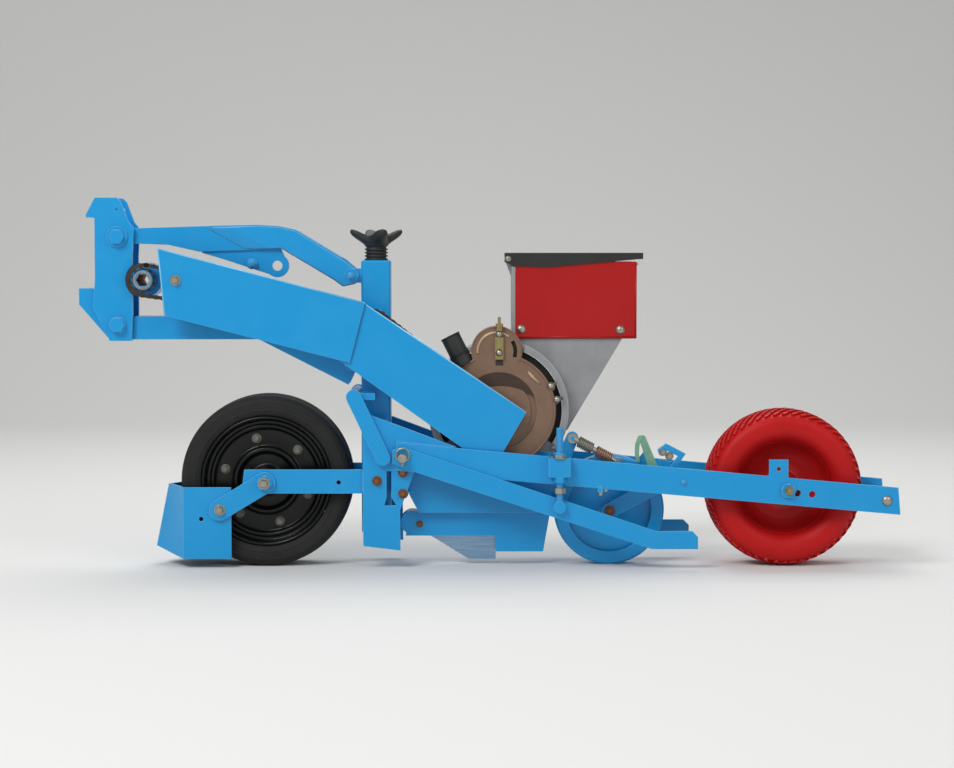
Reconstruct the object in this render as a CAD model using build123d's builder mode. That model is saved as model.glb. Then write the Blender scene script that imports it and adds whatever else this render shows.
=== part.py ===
from build123d import *
import os
from math import asin, atan2, cos, degrees, hypot, pi, radians, sin

os.makedirs("parts", exist_ok=True)

# One row of a precision planter. +X points to the rear, -Y is the drive side, Z = 0 is the ground.

# Driving dimensions of the whole row
toolbar_size = 127.0
toolbar_clearance = 0.3
link_reach = 419.5
link_rise = 70.0
link_spacing = 158.0
rear_pivot_x = -246.5
upper_pivot_z = 525.0
front_wheel_radius = 155.0
front_tyre_width = 100.0
press_wheel_radius = 100.0
rear_wheel_radius = 142.0
rear_tyre_width = 110.0
meter_x = 19.0
meter_z = 283.0
meter_ring_radius = 127.0
hopper_length = 218.0
hopper_base_z = 411.0
hopper_height = 139.0

# Clearances and stock used all over
fit = 0.1
seat_gap = 0.3
overrun = 2.0
plate = 8.0
side_plate = 6.0
sheet = 2.0
pin_diameter = 16.0
bolt_diameter = 12.0
washer_thickness = 3.0

# Distances from the row's middle plane, inwards to outwards
link_half_width = 28.0
link_gap = 3.0
headstock_inside = link_half_width + link_gap
tyre_side_gap = 20.0
side_plate_inside = front_tyre_width / 2 + tyre_side_gap
rail_inside = side_plate_inside + side_plate
arm_inside = rail_inside + plate + seat_gap

SIDES = ("near", "far")


def side_plane(inside, thickness, side):
    """Upright plane from which a plate that starts `inside` from the middle grows towards -Y."""
    if side == "near":
        return Plane.XZ.offset(inside)
    return Plane.XZ.offset(-inside - thickness)


def outline(shares, corner, size):
    """Points given as shares of a box with this lower front corner and size."""
    return [(corner[0] + u * size[0], corner[1] + v * size[1]) for u, v in shares]


def along(shares, start, run, drop, depth):
    """Points beside a line that runs back and down: shares of its run, and above it in depths."""
    return [(start[0] + u * run, start[1] - u * drop + v * depth) for u, v in shares]


def polygon(points, mode=Mode.ADD):
    """Closed flat face through the points, in the sketch being drawn."""
    with BuildLine() as border:
        Polyline(*points, close=True)
    make_face(border.edges(), mode=mode)


def loop_face(start, start_radius, end, end_radius):
    """Face bounded by two circles and their outer tangents, as a belt or a bar with round ends."""
    dx, dz = end[0] - start[0], end[1] - start[1]
    distance = hypot(dx, dz)
    heading = degrees(atan2(dz, dx))
    lean = degrees(asin((start_radius - end_radius) / distance))
    corners = []
    for turn in (90 - lean, lean - 90):
        way = radians(heading + turn)
        corners.append((start[0] + start_radius * cos(way), start[1] + start_radius * sin(way)))
        corners.append((end[0] + end_radius * cos(way), end[1] + end_radius * sin(way)))
    with Locations(start):
        Circle(start_radius)
    with Locations(end):
        Circle(end_radius)
    polygon([corners[0], corners[1], corners[3], corners[2]])


# Linkage pivots
front_pivot_x = rear_pivot_x - link_reach
lower_pivot_z = upper_pivot_z - link_spacing
upper_front_pivot = (front_pivot_x, upper_pivot_z + link_rise)
lower_front_pivot = (front_pivot_x, lower_pivot_z + link_rise)
upper_rear_pivot = (rear_pivot_x, upper_pivot_z)
lower_rear_pivot = (rear_pivot_x, lower_pivot_z)

# Chain line: the drive hub and the jack shaft lie one link length apart, so the chain keeps its length
hub_setback = 48.0
hub_lift = 80.0
drive_hub = (front_pivot_x + hub_setback, lower_front_pivot[1] + hub_lift)
jack_shaft = (drive_hub[0] + link_reach, drive_hub[1] - link_rise)
meter_shaft_offset = (-7.0, -13.0)
meter_shaft = (meter_x + meter_shaft_offset[0], meter_z + meter_shaft_offset[1])
chain_depth = 8.2
chain_waist = 5.6
chain_pitch = 12.7
chain_width = 8.0
chain_line_gap = 1.0
chain_arm_thickness = 5.0
chain_arm_inside = headstock_inside + plate + chain_line_gap
front_chain_inside = chain_arm_inside + chain_arm_thickness + chain_line_gap
rear_chain_inside = front_chain_inside + chain_width + 4 * chain_line_gap
drive_sprocket_radius = 27.4
jack_sprocket_radius = 13.9
meter_sprocket_radius = 22.0

# Headstock plates that hook over the toolbar
seat_setback = 40.6
headstock_depth = 86.0
nose_reach = 15.4
jaw_lift = 65.0
crown_height = 35.7
foot_drop = 29.5
hub_notch_radius = 34.0
hitch_hole_radius = 3.6
hitch_hole_drop = 21.6
seat_x = front_pivot_x - seat_setback
nose_x = seat_x - nose_reach
jaw_top_z = lower_front_pivot[1] + jaw_lift
hook_z = jaw_top_z + toolbar_size + toolbar_clearance
headstock_top_z = hook_z + crown_height
headstock_base_z = lower_front_pivot[1] - foot_drop

# (along, up) of the crown above the hook, then of the body below it
crown_shares = [(0.0, 0.0), (0.0, 0.14), (0.191, 1.0), (0.644, 1.0), (0.726, 0.804)]
body_shares = [
    (0.884, 0.967), (1.0, 0.909), (0.965, 0.692), (0.965, 0.234), (0.942, 0.0), (0.477, 0.0),
    (0.133, 0.275), (0.179, 0.50),
]
headstock_points = (
    [(seat_x, hook_z)]
    + outline(crown_shares, (nose_x, hook_z), (headstock_depth, crown_height))
    + outline(body_shares, (nose_x, headstock_base_z), (headstock_depth, hook_z - headstock_base_z))
)
for side in SIDES:
    with BuildPart() as headstock:
        with BuildSketch(side_plane(headstock_inside, plate, side)):
            polygon(headstock_points)
            with Locations(drive_hub):
                Circle(hub_notch_radius, mode=Mode.SUBTRACT)
            with Locations(upper_front_pivot, lower_front_pivot):
                Circle(pin_diameter / 2 + fit, mode=Mode.SUBTRACT)
            with Locations((front_pivot_x, headstock_top_z - hitch_hole_drop)):
                Circle(hitch_hole_radius, mode=Mode.SUBTRACT)
        extrude(amount=plate)
    headstock.part.label = f"headstock_{side}"
    export_step(headstock.part, f"parts/headstock_{side}.step")

# Lower clamp jaw between the headstock plates, under the toolbar
jaw_reach = 30.4
jaw_length = 54.0
jaw_front_x = seat_x - jaw_reach
jaw_base_z = headstock_base_z + link_gap
jaw_shares = [(0.0, 1.0), (0.822, 1.0), (0.822, 0.361), (0.907, 0.098), (1.0, 0.0), (0.0, 0.683)]
with BuildPart() as clamp_jaw:
    with BuildSketch(Plane.XZ):
        polygon(outline(jaw_shares, (jaw_front_x, jaw_base_z), (jaw_length, jaw_top_z - jaw_base_z)))
    extrude(amount=headstock_inside, both=True)
clamp_jaw.part.label = "clamp_jaw"
export_step(clamp_jaw.part, "parts/clamp_jaw.step")

# Bearing carrier welded between the headstock plates
carrier_radius = 31.0
carrier_saddle_height = 34.0
carrier_saddle_reach = 21.0
hub_radius = 21.6
with BuildPart() as bearing_carrier:
    with BuildSketch(Plane.XZ):
        with Locations(drive_hub):
            Circle(carrier_radius)
        with Locations((drive_hub[0] - carrier_radius / 2 - carrier_saddle_reach / 2, drive_hub[1])):
            Rectangle(carrier_radius + carrier_saddle_reach, carrier_saddle_height)
        with Locations(drive_hub):
            Circle(hub_radius + seat_gap, mode=Mode.SUBTRACT)
    extrude(amount=headstock_inside, both=True)
bearing_carrier.part.label = "bearing_carrier"
export_step(bearing_carrier.part, "parts/bearing_carrier.step")


def toothed_wheel(place, tip_radius, tooth_depth, pitch):
    """Outline of a chain wheel with a whole number of teeth, in the sketch being drawn."""
    root_radius = tip_radius - tooth_depth
    teeth = round(2 * pi * tip_radius / pitch)
    with Locations(place):
        Circle(root_radius)
        with PolarLocations(root_radius, teeth):
            Rectangle(2 * tooth_depth, pitch / 3)
        Circle(tip_radius, mode=Mode.INTERSECT)


# Drive hub with its hexagonal bore, a collar and the chain wheel
hex_across = 22.0
hub_near_end = front_chain_inside + chain_width + 4 * chain_line_gap
hub_far_end = headstock_inside + plate + plate
tooth_depth = 4.0
wheel_gap = chain_depth / 2 + seat_gap
with BuildPart() as drive_hub_part:
    with BuildSketch(Plane.XZ.offset(-hub_far_end)):
        with Locations(drive_hub):
            Circle(hub_radius)
    extrude(amount=hub_far_end + chain_arm_inside)
    with BuildSketch(Plane.XZ):
        with Locations(drive_hub):
            Circle(hub_radius - tooth_depth)
    extrude(amount=hub_near_end)
    with BuildSketch(Plane.XZ.offset(front_chain_inside)):
        toothed_wheel(drive_hub, drive_sprocket_radius - wheel_gap, tooth_depth, chain_pitch)
    extrude(amount=chain_width)
    with BuildSketch(Plane.XZ.offset(-hub_far_end)):
        with Locations(drive_hub):
            RegularPolygon(hex_across / 2, side_count=6, major_radius=False)
    extrude(amount=hub_far_end + hub_near_end, mode=Mode.SUBTRACT)
drive_hub_part.part.label = "drive_hub"
export_step(drive_hub_part.part, "parts/drive_hub.step")


def pivot_pin(place, half_length, head_radius, head_thickness):
    """Pin across the row with a washer and a head at both ends, in the part being built."""
    with BuildSketch(Plane.XZ) as shank:
        with Locations(place):
            Circle(pin_diameter / 2)
    extrude(shank.sketch, amount=half_length, both=True)
    for end, way in ((Plane.XZ.offset(half_length), 1), (Plane.XZ.offset(-half_length), -1)):
        with BuildSketch(end) as washer:
            with Locations(place):
                Circle(head_radius)
        extrude(washer.sketch, amount=way * washer_thickness)
        with BuildSketch(end.offset(way * washer_thickness)) as head:
            with Locations(place):
                RegularPolygon(bolt_diameter, side_count=6, major_radius=False)
        extrude(head.sketch, amount=way * head_thickness)


# Front pivot pins, held in the headstock plates
pin_head_thickness = 10.0
upper_washer_radius = 19.0
lower_washer_radius = 15.0
with BuildPart() as front_pins:
    pivot_pin(upper_front_pivot, headstock_inside + plate, upper_washer_radius, pin_head_thickness)
    pivot_pin(lower_front_pivot, headstock_inside + plate, lower_washer_radius, pin_head_thickness)
front_pins.part.label = "front_pins"
export_step(front_pins.part, "parts/front_pins.step")

# Upper link: a folded channel, open below, deepest at its middle; (along, above) in link depths
link_wall = 4.0
link_depth = 40.0
roof_cutback = 19.0
upper_top_shares = [
    (-0.033, 0.29), (0.455, 1.30), (0.598, 1.58), (0.689, 1.68), (0.76, 1.64), (0.974, 0.66),
    (1.019, 0.33),
]
upper_base_shares = [
    (-0.033, -0.33), (0.215, 0.01), (0.348, -0.07), (0.701, 0.68), (0.925, -0.33), (0.964, -0.56),
    (1.01, -0.38), (1.019, -0.22),
]


def channel(top, base, pivots):
    """Channel folded from plate, open below and over its rear boss, with a pin hole at each pivot."""
    with BuildSketch(Plane.XZ) as side_view:
        polygon(top + base[::-1])
    extrude(side_view.sketch, amount=link_half_width, both=True)
    inner_top = [(x, z - link_wall) for x, z in top]
    depth = top[0][1] - base[0][1] + link_spacing
    inner_base = [(top[-1][0], top[-1][1] - depth), (top[0][0], top[0][1] - depth)]
    ahead = [(top[0][0] - overrun, top[0][1] - depth), (top[0][0] - overrun, top[0][1] - link_wall)]
    behind = [(top[-1][0] + overrun, top[-1][1] - link_wall), (top[-1][0] + overrun, top[-1][1] - depth)]
    with BuildSketch(Plane.XZ) as inside:
        polygon(inner_top + behind + inner_base + ahead)
    extrude(inside.sketch, amount=link_half_width - link_wall, both=True, mode=Mode.SUBTRACT)
    with BuildSketch(Plane.XZ) as rear_notch:
        with Locations(pivots[-1]):
            Rectangle(2 * roof_cutback, 4 * roof_cutback)
    extrude(rear_notch.sketch, amount=link_half_width - link_wall, both=True, mode=Mode.SUBTRACT)
    with BuildSketch(Plane.XZ) as holes:
        with Locations(*pivots):
            Circle(pin_diameter / 2 + fit)
    extrude(holes.sketch, amount=link_half_width, both=True, mode=Mode.SUBTRACT)


with BuildPart() as upper_link:
    channel(
        along(upper_top_shares, upper_front_pivot, link_reach, link_rise, link_depth),
        along(upper_base_shares, upper_front_pivot, link_reach, link_rise, link_depth),
        [upper_front_pivot, upper_rear_pivot],
    )
upper_link.part.label = "upper_link"
export_step(upper_link.part, "parts/upper_link.step")

# Transport latch: a plate with a round eye, welded inside the upper link
latch_thickness = 8.0
eye_shares = [(0.682, -0.11)]
eye_radius = 21.0
eye_hole_radius = 9.0
latch_shares = [(0.358, 0.10), (0.358, -0.10), (0.453, -0.23), (0.672, -0.60), (0.715, 0.33), (0.691, 0.81)]
eye_place = along(eye_shares, upper_front_pivot, link_reach, link_rise, link_depth)[0]
with BuildPart() as latch_hook:
    with BuildSketch(side_plane(link_half_width - link_wall - latch_thickness, latch_thickness, "near")):
        polygon(along(latch_shares, upper_front_pivot, link_reach, link_rise, link_depth))
        with Locations(eye_place):
            Circle(eye_radius)
            Circle(eye_hole_radius, mode=Mode.SUBTRACT)
    extrude(amount=latch_thickness)
latch_hook.part.label = "latch_hook"
export_step(latch_hook.part, "parts/latch_hook.step")

# Lower link: a channel like the upper one, level at the front and bent down at its rear
lower_top_shares = [(-0.033, 0.30), (0.586, 1.39), (0.971, 0.50), (1.019, 0.33)]
lower_base_shares = [(-0.033, -0.42), (0.0, -0.68), (0.601, 0.38), (0.986, -1.0), (1.019, -0.22)]
with BuildPart() as lower_link:
    channel(
        along(lower_top_shares, lower_front_pivot, link_reach, link_rise, link_depth),
        along(lower_base_shares, lower_front_pivot, link_reach, link_rise, link_depth),
        [lower_front_pivot, lower_rear_pivot],
    )
lower_link.part.label = "lower_link"
export_step(lower_link.part, "parts/lower_link.step")

# Square column with its link bosses and the cross members that carry the side plates
column_setback = 17.5
column_size = 53.0
column_wall = 5.0
column_top_lift = 27.6
column_base_z = 60.0
boss_radius = 13.0
boss_gap = 0.5
brace_setback = 6.5
brace_drop = 58.0
cross_tube_radius = 12.0
cross_member_size = 40.0
upper_member_drop = 122.0
jack_radius = 9.4
column_front_x = rear_pivot_x + column_setback
column_rear_x = column_front_x + column_size
column_x = column_front_x + column_size / 2
column_top_z = upper_pivot_z + column_top_lift
boss_half_length = link_half_width - link_wall - boss_gap
brace_top = (rear_pivot_x + brace_setback, lower_pivot_z - brace_drop)
cross_member_levels = (lower_pivot_z - upper_member_drop, column_base_z + cross_member_size / 2)
with BuildPart() as column:
    with BuildSketch(Plane.XY.offset(column_base_z)):
        with Locations((column_x, 0)):
            Rectangle(column_size, column_size)
    extrude(amount=column_top_z - column_base_z)
    fillet(column.edges().filter_by(Axis.Z), column_wall)
    chamfer(column.faces().sort_by(Axis.Z)[-1].edges(), column_wall / 2)
    with BuildSketch(Plane.XZ):
        for level in (upper_rear_pivot, lower_rear_pivot):
            with Locations(level):
                Circle(boss_radius)
            with Locations(((level[0] + column_front_x + column_wall) / 2, level[1])):
                Rectangle(column_front_x + column_wall - level[0], boss_radius * 2)
    extrude(amount=boss_half_length, both=True)
    with BuildSketch(Plane.XZ):
        with Locations(brace_top):
            Circle(cross_tube_radius)
        with Locations(((brace_top[0] + column_x) / 2, brace_top[1])):
            Rectangle(column_x - brace_top[0], cross_tube_radius)
        for level in cross_member_levels:
            with Locations((column_x, level)):
                Rectangle(cross_member_size, cross_member_size)
    extrude(amount=side_plate_inside, both=True)
    with BuildSketch(Plane.XY.offset(column_base_z)):
        with Locations((column_x, 0)):
            Rectangle(column_size - 2 * column_wall, column_size - 2 * column_wall)
    extrude(amount=column_top_z - column_base_z - column_wall, mode=Mode.SUBTRACT)
    with BuildSketch(Plane.XZ):
        with Locations(upper_rear_pivot, lower_rear_pivot):
            Circle(pin_diameter / 2 + fit)
        with Locations(jack_shaft):
            Circle(jack_radius + fit)
    extrude(amount=side_plate_inside, both=True, mode=Mode.SUBTRACT)
column.part.label = "column"
export_step(column.part, "parts/column.step")

# Rear pivot pins, held in the bosses of the column
with BuildPart() as rear_pins:
    pivot_pin(upper_rear_pivot, link_half_width + seat_gap, boss_radius, washer_thickness)
    pivot_pin(lower_rear_pivot, link_half_width + seat_gap, boss_radius, washer_thickness)
rear_pins.part.label = "rear_pins"
export_step(rear_pins.part, "parts/rear_pins.step")

# Depth knob: a ribbed neck and a star handle on top of the column
knob_neck_radius = 21.0
knob_neck_height = 30.0
knob_rib_depth = 2.5
knob_rib_count = 5
knob_height = 26.0
knob_span_radius = 50.0
knob_lobe_radius = 13.0
knob_lobe_count = 4
knob_lobe_angle = 17.0
knob_hollow_depth = 9.0
with BuildPart() as depth_knob:
    with BuildSketch(Plane.XY.offset(column_top_z)):
        with Locations((column_x, 0)):
            Circle(knob_neck_radius)
    extrude(amount=knob_neck_height)
    for rib in range(knob_rib_count):
        rib_pitch = knob_neck_height / knob_rib_count
        with BuildSketch(Plane.XY.offset(column_top_z + (rib + 0.5) * rib_pitch)):
            with Locations((column_x, 0)):
                Circle(knob_neck_radius)
                Circle(knob_neck_radius - knob_rib_depth, mode=Mode.SUBTRACT)
        extrude(amount=rib_pitch / 2, mode=Mode.SUBTRACT)
    with BuildSketch(Plane.XY.offset(column_top_z + knob_neck_height)):
        with Locations((column_x, 0)):
            Circle(knob_neck_radius)
    with BuildSketch(Plane.XY.offset(column_top_z + knob_neck_height + knob_height)):
        with Locations((column_x, 0)):
            Circle(knob_span_radius - knob_lobe_radius)
            with PolarLocations(knob_span_radius - knob_lobe_radius, knob_lobe_count, knob_lobe_angle):
                Circle(knob_lobe_radius)
    loft(ruled=True)
    with BuildSketch(Plane.XY.offset(column_top_z + knob_neck_height + knob_height)):
        with Locations((column_x, 0)):
            Circle(knob_neck_radius)
    extrude(amount=-knob_hollow_depth, mode=Mode.SUBTRACT)
depth_knob.part.label = "depth_knob"
export_step(depth_knob.part, "parts/depth_knob.step")

# Side plates under the column, each with an L-shaped slot, and the arm pin through both
arm_pin_setback = 93.8
arm_pin_z = 201.6
rail_height = 50.0
side_plate_setback = 5.0
side_plate_reach = 96.0
side_plate_base_z = 33.0
side_plate_top_drop = 84.0
slot_overlap = 10.0
slot_base_z = 114.0
slot_size = (22.0, 62.0)
arm_pin = (rear_pivot_x + arm_pin_setback, arm_pin_z)
side_plate_front_x = column_front_x + side_plate_setback
side_plate_size = (
    arm_pin[0] + side_plate_reach - side_plate_front_x,
    lower_pivot_z - side_plate_top_drop - side_plate_base_z,
)
slot_corner = (column_rear_x - slot_overlap, slot_base_z)
slot_shares = [(0.182, 0.226), (0.182, 1.0), (0.591, 1.0), (0.591, 0.226), (1.0, 0.0), (0.0, 0.0)]
side_plate_shares = [
    (0.0, 0.032), (0.40, 0.0), (0.395, 0.288), (0.558, 0.582), (0.976, 0.626), (1.0, 0.745),
    (0.024, 0.988), (0.0, 1.0),
]
for side in SIDES:
    with BuildPart() as plate_part:
        with BuildSketch(side_plane(side_plate_inside, side_plate, side)):
            polygon(outline(side_plate_shares, (side_plate_front_x, side_plate_base_z), side_plate_size))
            polygon(outline(slot_shares, slot_corner, slot_size), Mode.SUBTRACT)
            with Locations(arm_pin):
                Circle(pin_diameter / 2 + fit, mode=Mode.SUBTRACT)
        extrude(amount=side_plate)
    plate_part.part.label = f"side_plate_{side}"
    export_step(plate_part.part, f"parts/side_plate_{side}.step")

# Braces from the column's cross tube down to the side plates
brace_half_width = 13.5
brace_thickness = 10.0
brace_run = 52.0
brace_fall = 109.0
brace_foot = (brace_top[0] + brace_run, brace_top[1] - brace_fall)
for side in SIDES:
    with BuildPart() as brace:
        with BuildSketch(side_plane(side_plate_inside + side_plate, brace_thickness, side)):
            loop_face(brace_top, brace_half_width, brace_foot, brace_half_width)
        extrude(amount=brace_thickness)
        with BuildSketch(side_plane(side_plate_inside, side_plate, side)):
            with Locations(brace_top):
                Circle(cross_tube_radius)
        extrude(amount=side_plate)
    brace.part.label = f"brace_{side}"
    export_step(brace.part, f"parts/brace_{side}.step")

# Front arms that carry the wheel, between the side plates
column_wheel_gap = 16.0
arm_thickness = 8.0
front_arm_nose = 41.0
front_arm_tail = 39.0
front_arm_drop = 20.0
front_arm_height = 43.0
arm_bolt_setback = 39.0
front_arm_inside = side_plate_inside - arm_thickness
front_wheel_x = column_front_x - column_wheel_gap - front_wheel_radius
front_wheel_centre = (front_wheel_x, front_wheel_radius)
front_arm_corner = (front_wheel_x - front_arm_nose, front_wheel_radius - front_arm_drop)
front_arm_size = (column_front_x + front_arm_tail - front_arm_corner[0], front_arm_height)
front_arm_shares = [(0.0, 0.302), (0.016, 1.0), (1.0, 1.0), (1.0, 0.0), (0.016, 0.0)]
for side in SIDES:
    with BuildPart() as front_arm:
        with BuildSketch(side_plane(front_arm_inside, arm_thickness, side)):
            polygon(outline(front_arm_shares, front_arm_corner, front_arm_size))
            with Locations(front_wheel_centre):
                Circle(pin_diameter / 2 + fit, mode=Mode.SUBTRACT)
            with Locations((column_front_x - arm_bolt_setback, front_wheel_radius)):
                Circle(bolt_diameter / 3, mode=Mode.SUBTRACT)
        extrude(amount=arm_thickness)
    front_arm.part.label = f"front_arm_{side}"
    export_step(front_arm.part, f"parts/front_arm_{side}.step")

# Front axle through both arms and straps
strap_thickness = 6.0
with BuildPart() as front_axle:
    pivot_pin(front_wheel_centre, side_plate_inside + strap_thickness, boss_radius, washer_thickness)
front_axle.part.label = "front_axle"
export_step(front_axle.part, "parts/front_axle.step")

# Straps from the axle to the clod deflector
strap_half_width = 19.0
strap_drop = 49.0
strap_setback = 66.0
fold_overlap = 8.0
deflector_fold_x = front_wheel_x - front_wheel_radius + fold_overlap
strap_end = (deflector_fold_x + strap_setback, front_wheel_radius - strap_drop)
for side in SIDES:
    with BuildPart() as strap:
        with BuildSketch(side_plane(side_plate_inside, strap_thickness, side)):
            loop_face(front_wheel_centre, strap_half_width, strap_end, strap_half_width)
            with Locations(front_wheel_centre):
                Circle(pin_diameter / 2 + fit, mode=Mode.SUBTRACT)
        extrude(amount=strap_thickness)
    strap.part.label = f"strap_{side}"
    export_step(strap.part, f"parts/strap_{side}.step")

# Clod deflector: one plate folded to a blunt nose ahead of the wheel, its base cut back at the nose
deflector_wall = 6.0
deflector_side_length = 86.0
deflector_nose_reach = 35.0
deflector_rake = 26.0
deflector_base_z = 17.0
deflector_top_drop = 9.0
nose_cutback = 17.0
deflector_hole_setback = 32.0
deflector_hole_z = 89.0
deflector_rear_x = deflector_fold_x + deflector_side_length
deflector_nose_x = deflector_fold_x - deflector_nose_reach
deflector_tip_x = deflector_nose_x - deflector_rake
deflector_top_z = front_wheel_radius - deflector_top_drop


def deflector_plan(tip_x, inset):
    """Plan of the deflector at one level, as its outside or, with an inset, as its inside."""
    rear_x = deflector_rear_x + (overrun if inset else 0)
    half = side_plate_inside - inset
    fold_x = deflector_fold_x + inset / 2
    return [(rear_x, -half), (fold_x, -half), (tip_x + inset, 0), (fold_x, half), (rear_x, half)]


with BuildPart() as clod_deflector:
    with BuildSketch(Plane.XY.offset(deflector_base_z)):
        polygon(deflector_plan(deflector_tip_x, 0))
    with BuildSketch(Plane.XY.offset(deflector_top_z)):
        polygon(deflector_plan(deflector_nose_x, 0))
    loft(ruled=True)
    with BuildSketch(Plane.XY.offset(deflector_base_z)):
        polygon(deflector_plan(deflector_tip_x, deflector_wall))
    with BuildSketch(Plane.XY.offset(deflector_top_z)):
        polygon(deflector_plan(deflector_nose_x, deflector_wall))
    loft(ruled=True, mode=Mode.SUBTRACT)
    with BuildSketch(Plane.XZ):
        with Locations((deflector_fold_x + deflector_hole_setback, deflector_hole_z)):
            Circle(bolt_diameter / 3)
        polygon([
            (deflector_fold_x, deflector_base_z),
            (deflector_tip_x - overrun, deflector_base_z + nose_cutback),
            (deflector_tip_x - overrun, deflector_base_z - overrun),
            (deflector_fold_x, deflector_base_z - overrun),
        ])
    extrude(amount=rail_inside, both=True, mode=Mode.SUBTRACT)
clod_deflector.part.label = "clod_deflector"
export_step(clod_deflector.part, "parts/clod_deflector.step")


def wheel_plane(x, radius):
    """Plane through a wheel's axle: across the row, then up from the axle."""
    return Plane(origin=(x, 0, radius), x_dir=(0, 1, 0), z_dir=(1, 0, 0))


def wheel_axis(x, radius):
    """Axle of a wheel that stands on the ground."""
    return Axis((x, 0, radius), (0, 1, 0))


def mirrored(half_points):
    """Points of a section that is the same on both sides of the row, from its near half."""
    return half_points + [(-y, r) for y, r in half_points[::-1]]


# Front tyre: a smooth ring with rounded shoulders
front_tyre_height = 37.0
front_shoulder = 20.0
front_bead_width = 88.0
front_rim_radius = front_wheel_radius - front_tyre_height
with BuildPart() as front_tyre:
    with BuildSketch(wheel_plane(front_wheel_x, front_wheel_radius)):
        polygon(mirrored([
            (-front_bead_width / 2, front_rim_radius + seat_gap),
            (-front_tyre_width / 2, front_rim_radius + front_shoulder / 2),
            (-front_tyre_width / 2, front_wheel_radius - front_shoulder),
            (-front_tyre_width / 2 + front_shoulder / 2, front_wheel_radius - front_shoulder / 3),
            (-front_tyre_width / 2 + front_shoulder, front_wheel_radius),
        ]))
    revolve(axis=wheel_axis(front_wheel_x, front_wheel_radius))
front_tyre.part.label = "front_tyre"
export_step(front_tyre.part, "parts/front_tyre.step")

# Front rim: a pressed disc with a stepped dish, a rim band and a hub tube
front_disc_y = -30.0
rim_wall = 4.0
rim_lip = 4.0
front_hub_radius = 24.0
hub_side_gap = 5.0
dish_step_share = 0.45
dish_ramp_share = 0.51
dish_edge_share = 0.80
dish_lip_share = 0.87
front_hub_half_length = front_arm_inside - hub_side_gap
bore_radius = pin_diameter / 2 + fit
disc_line = [
    (-rim_wall, bore_radius), (-rim_wall, front_rim_radius * dish_step_share),
    (rim_wall, front_rim_radius * dish_ramp_share), (rim_wall, front_rim_radius * dish_edge_share),
    (0.0, front_rim_radius * dish_lip_share), (0.0, front_rim_radius - rim_wall),
]
with BuildPart() as front_rim:
    with BuildSketch(wheel_plane(front_wheel_x, front_wheel_radius)):
        polygon(mirrored([
            (-front_bead_width / 2, front_rim_radius - rim_lip - rim_wall),
            (-front_bead_width / 2, front_rim_radius),
        ]))
        polygon(
            [(front_disc_y + y, r) for y, r in disc_line]
            + [(front_disc_y + y + rim_wall, r) for y, r in disc_line[::-1]]
        )
        polygon(mirrored([
            (-front_hub_half_length, bore_radius),
            (-front_hub_half_length, front_hub_radius),
        ]))
    revolve(axis=wheel_axis(front_wheel_x, front_wheel_radius))
front_rim.part.label = "front_rim"
export_step(front_rim.part, "parts/front_rim.step")

# Jack shaft through the column, and the meter shaft with its chain wheel
meter_cover_outside = 52.0
shaft_end = rear_chain_inside + chain_width + overrun
with BuildPart() as jack_shaft_part:
    with BuildSketch(Plane.XZ.offset(-column_size / 2 - plate)):
        with Locations(jack_shaft):
            Circle(jack_radius)
    extrude(amount=column_size / 2 + plate + shaft_end)
jack_shaft_part.part.label = "jack_shaft"
export_step(jack_shaft_part.part, "parts/jack_shaft.step")

with BuildPart() as meter_shaft_part:
    with BuildSketch(Plane.XZ.offset(meter_cover_outside)):
        with Locations(meter_shaft):
            Circle(jack_radius)
    extrude(amount=shaft_end - meter_cover_outside)
    with BuildSketch(Plane.XZ.offset(rear_chain_inside)):
        toothed_wheel(meter_shaft, meter_sprocket_radius - wheel_gap, tooth_depth, chain_pitch)
    extrude(amount=chain_width)
meter_shaft_part.part.label = "meter_shaft"
export_step(meter_shaft_part.part, "parts/meter_shaft.step")


def belt_stations(start, start_radius, end, end_radius, pitch):
    """Points round a belt's middle line at half pitches, each with its outward direction."""
    distance = hypot(end[0] - start[0], end[1] - start[1])
    heading = atan2(end[1] - start[1], end[0] - start[0])
    lean = asin((start_radius - end_radius) / distance)
    straight = distance * cos(lean)
    upper, lower = heading + pi / 2 - lean, heading - pi / 2 + lean
    turn_at_end = straight + end_radius * (pi - 2 * lean)
    turn_at_start = turn_at_end + straight
    length = turn_at_start + start_radius * (pi + 2 * lean)
    count = 2 * round(length / pitch)
    stations = []
    for number in range(count):
        place = number * length / count
        if place < straight:
            middle, radius, way, ahead = start, start_radius, upper, place
        elif place < turn_at_end:
            middle, radius, way, ahead = end, end_radius, upper - (place - straight) / end_radius, 0
        elif place < turn_at_start:
            middle, radius, way, ahead = end, end_radius, lower, place - turn_at_end
        else:
            middle, radius, ahead = start, start_radius, 0
            way = lower - (place - turn_at_start) / start_radius
        x = middle[0] + radius * cos(way) + ahead * sin(way)
        z = middle[1] + radius * sin(way) - ahead * cos(way)
        stations.append((x, z, cos(way), sin(way)))
    return stations


# Drive chains, each a closed loop of links round its two wheels
chain_loops = {
    "front_chain": (drive_hub, drive_sprocket_radius, jack_shaft, jack_sprocket_radius, front_chain_inside),
    "rear_chain": (jack_shaft, jack_sprocket_radius, meter_shaft, meter_sprocket_radius, rear_chain_inside),
}
for name, (start, start_radius, end, end_radius, inside) in chain_loops.items():
    stations = belt_stations(start, start_radius, end, end_radius, chain_pitch)
    halves = [(chain_waist if number % 2 else chain_depth) / 2 for number in range(len(stations))]
    with BuildPart() as chain:
        with BuildSketch(Plane.XZ.offset(inside)):
            polygon([(x + h * u, z + h * v) for (x, z, u, v), h in zip(stations, halves)])
            polygon([(x - h * u, z - h * v) for (x, z, u, v), h in zip(stations, halves)], Mode.SUBTRACT)
        extrude(amount=chain_width)
    chain.part.label = name
    export_step(chain.part, f"parts/{name}.step")

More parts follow.
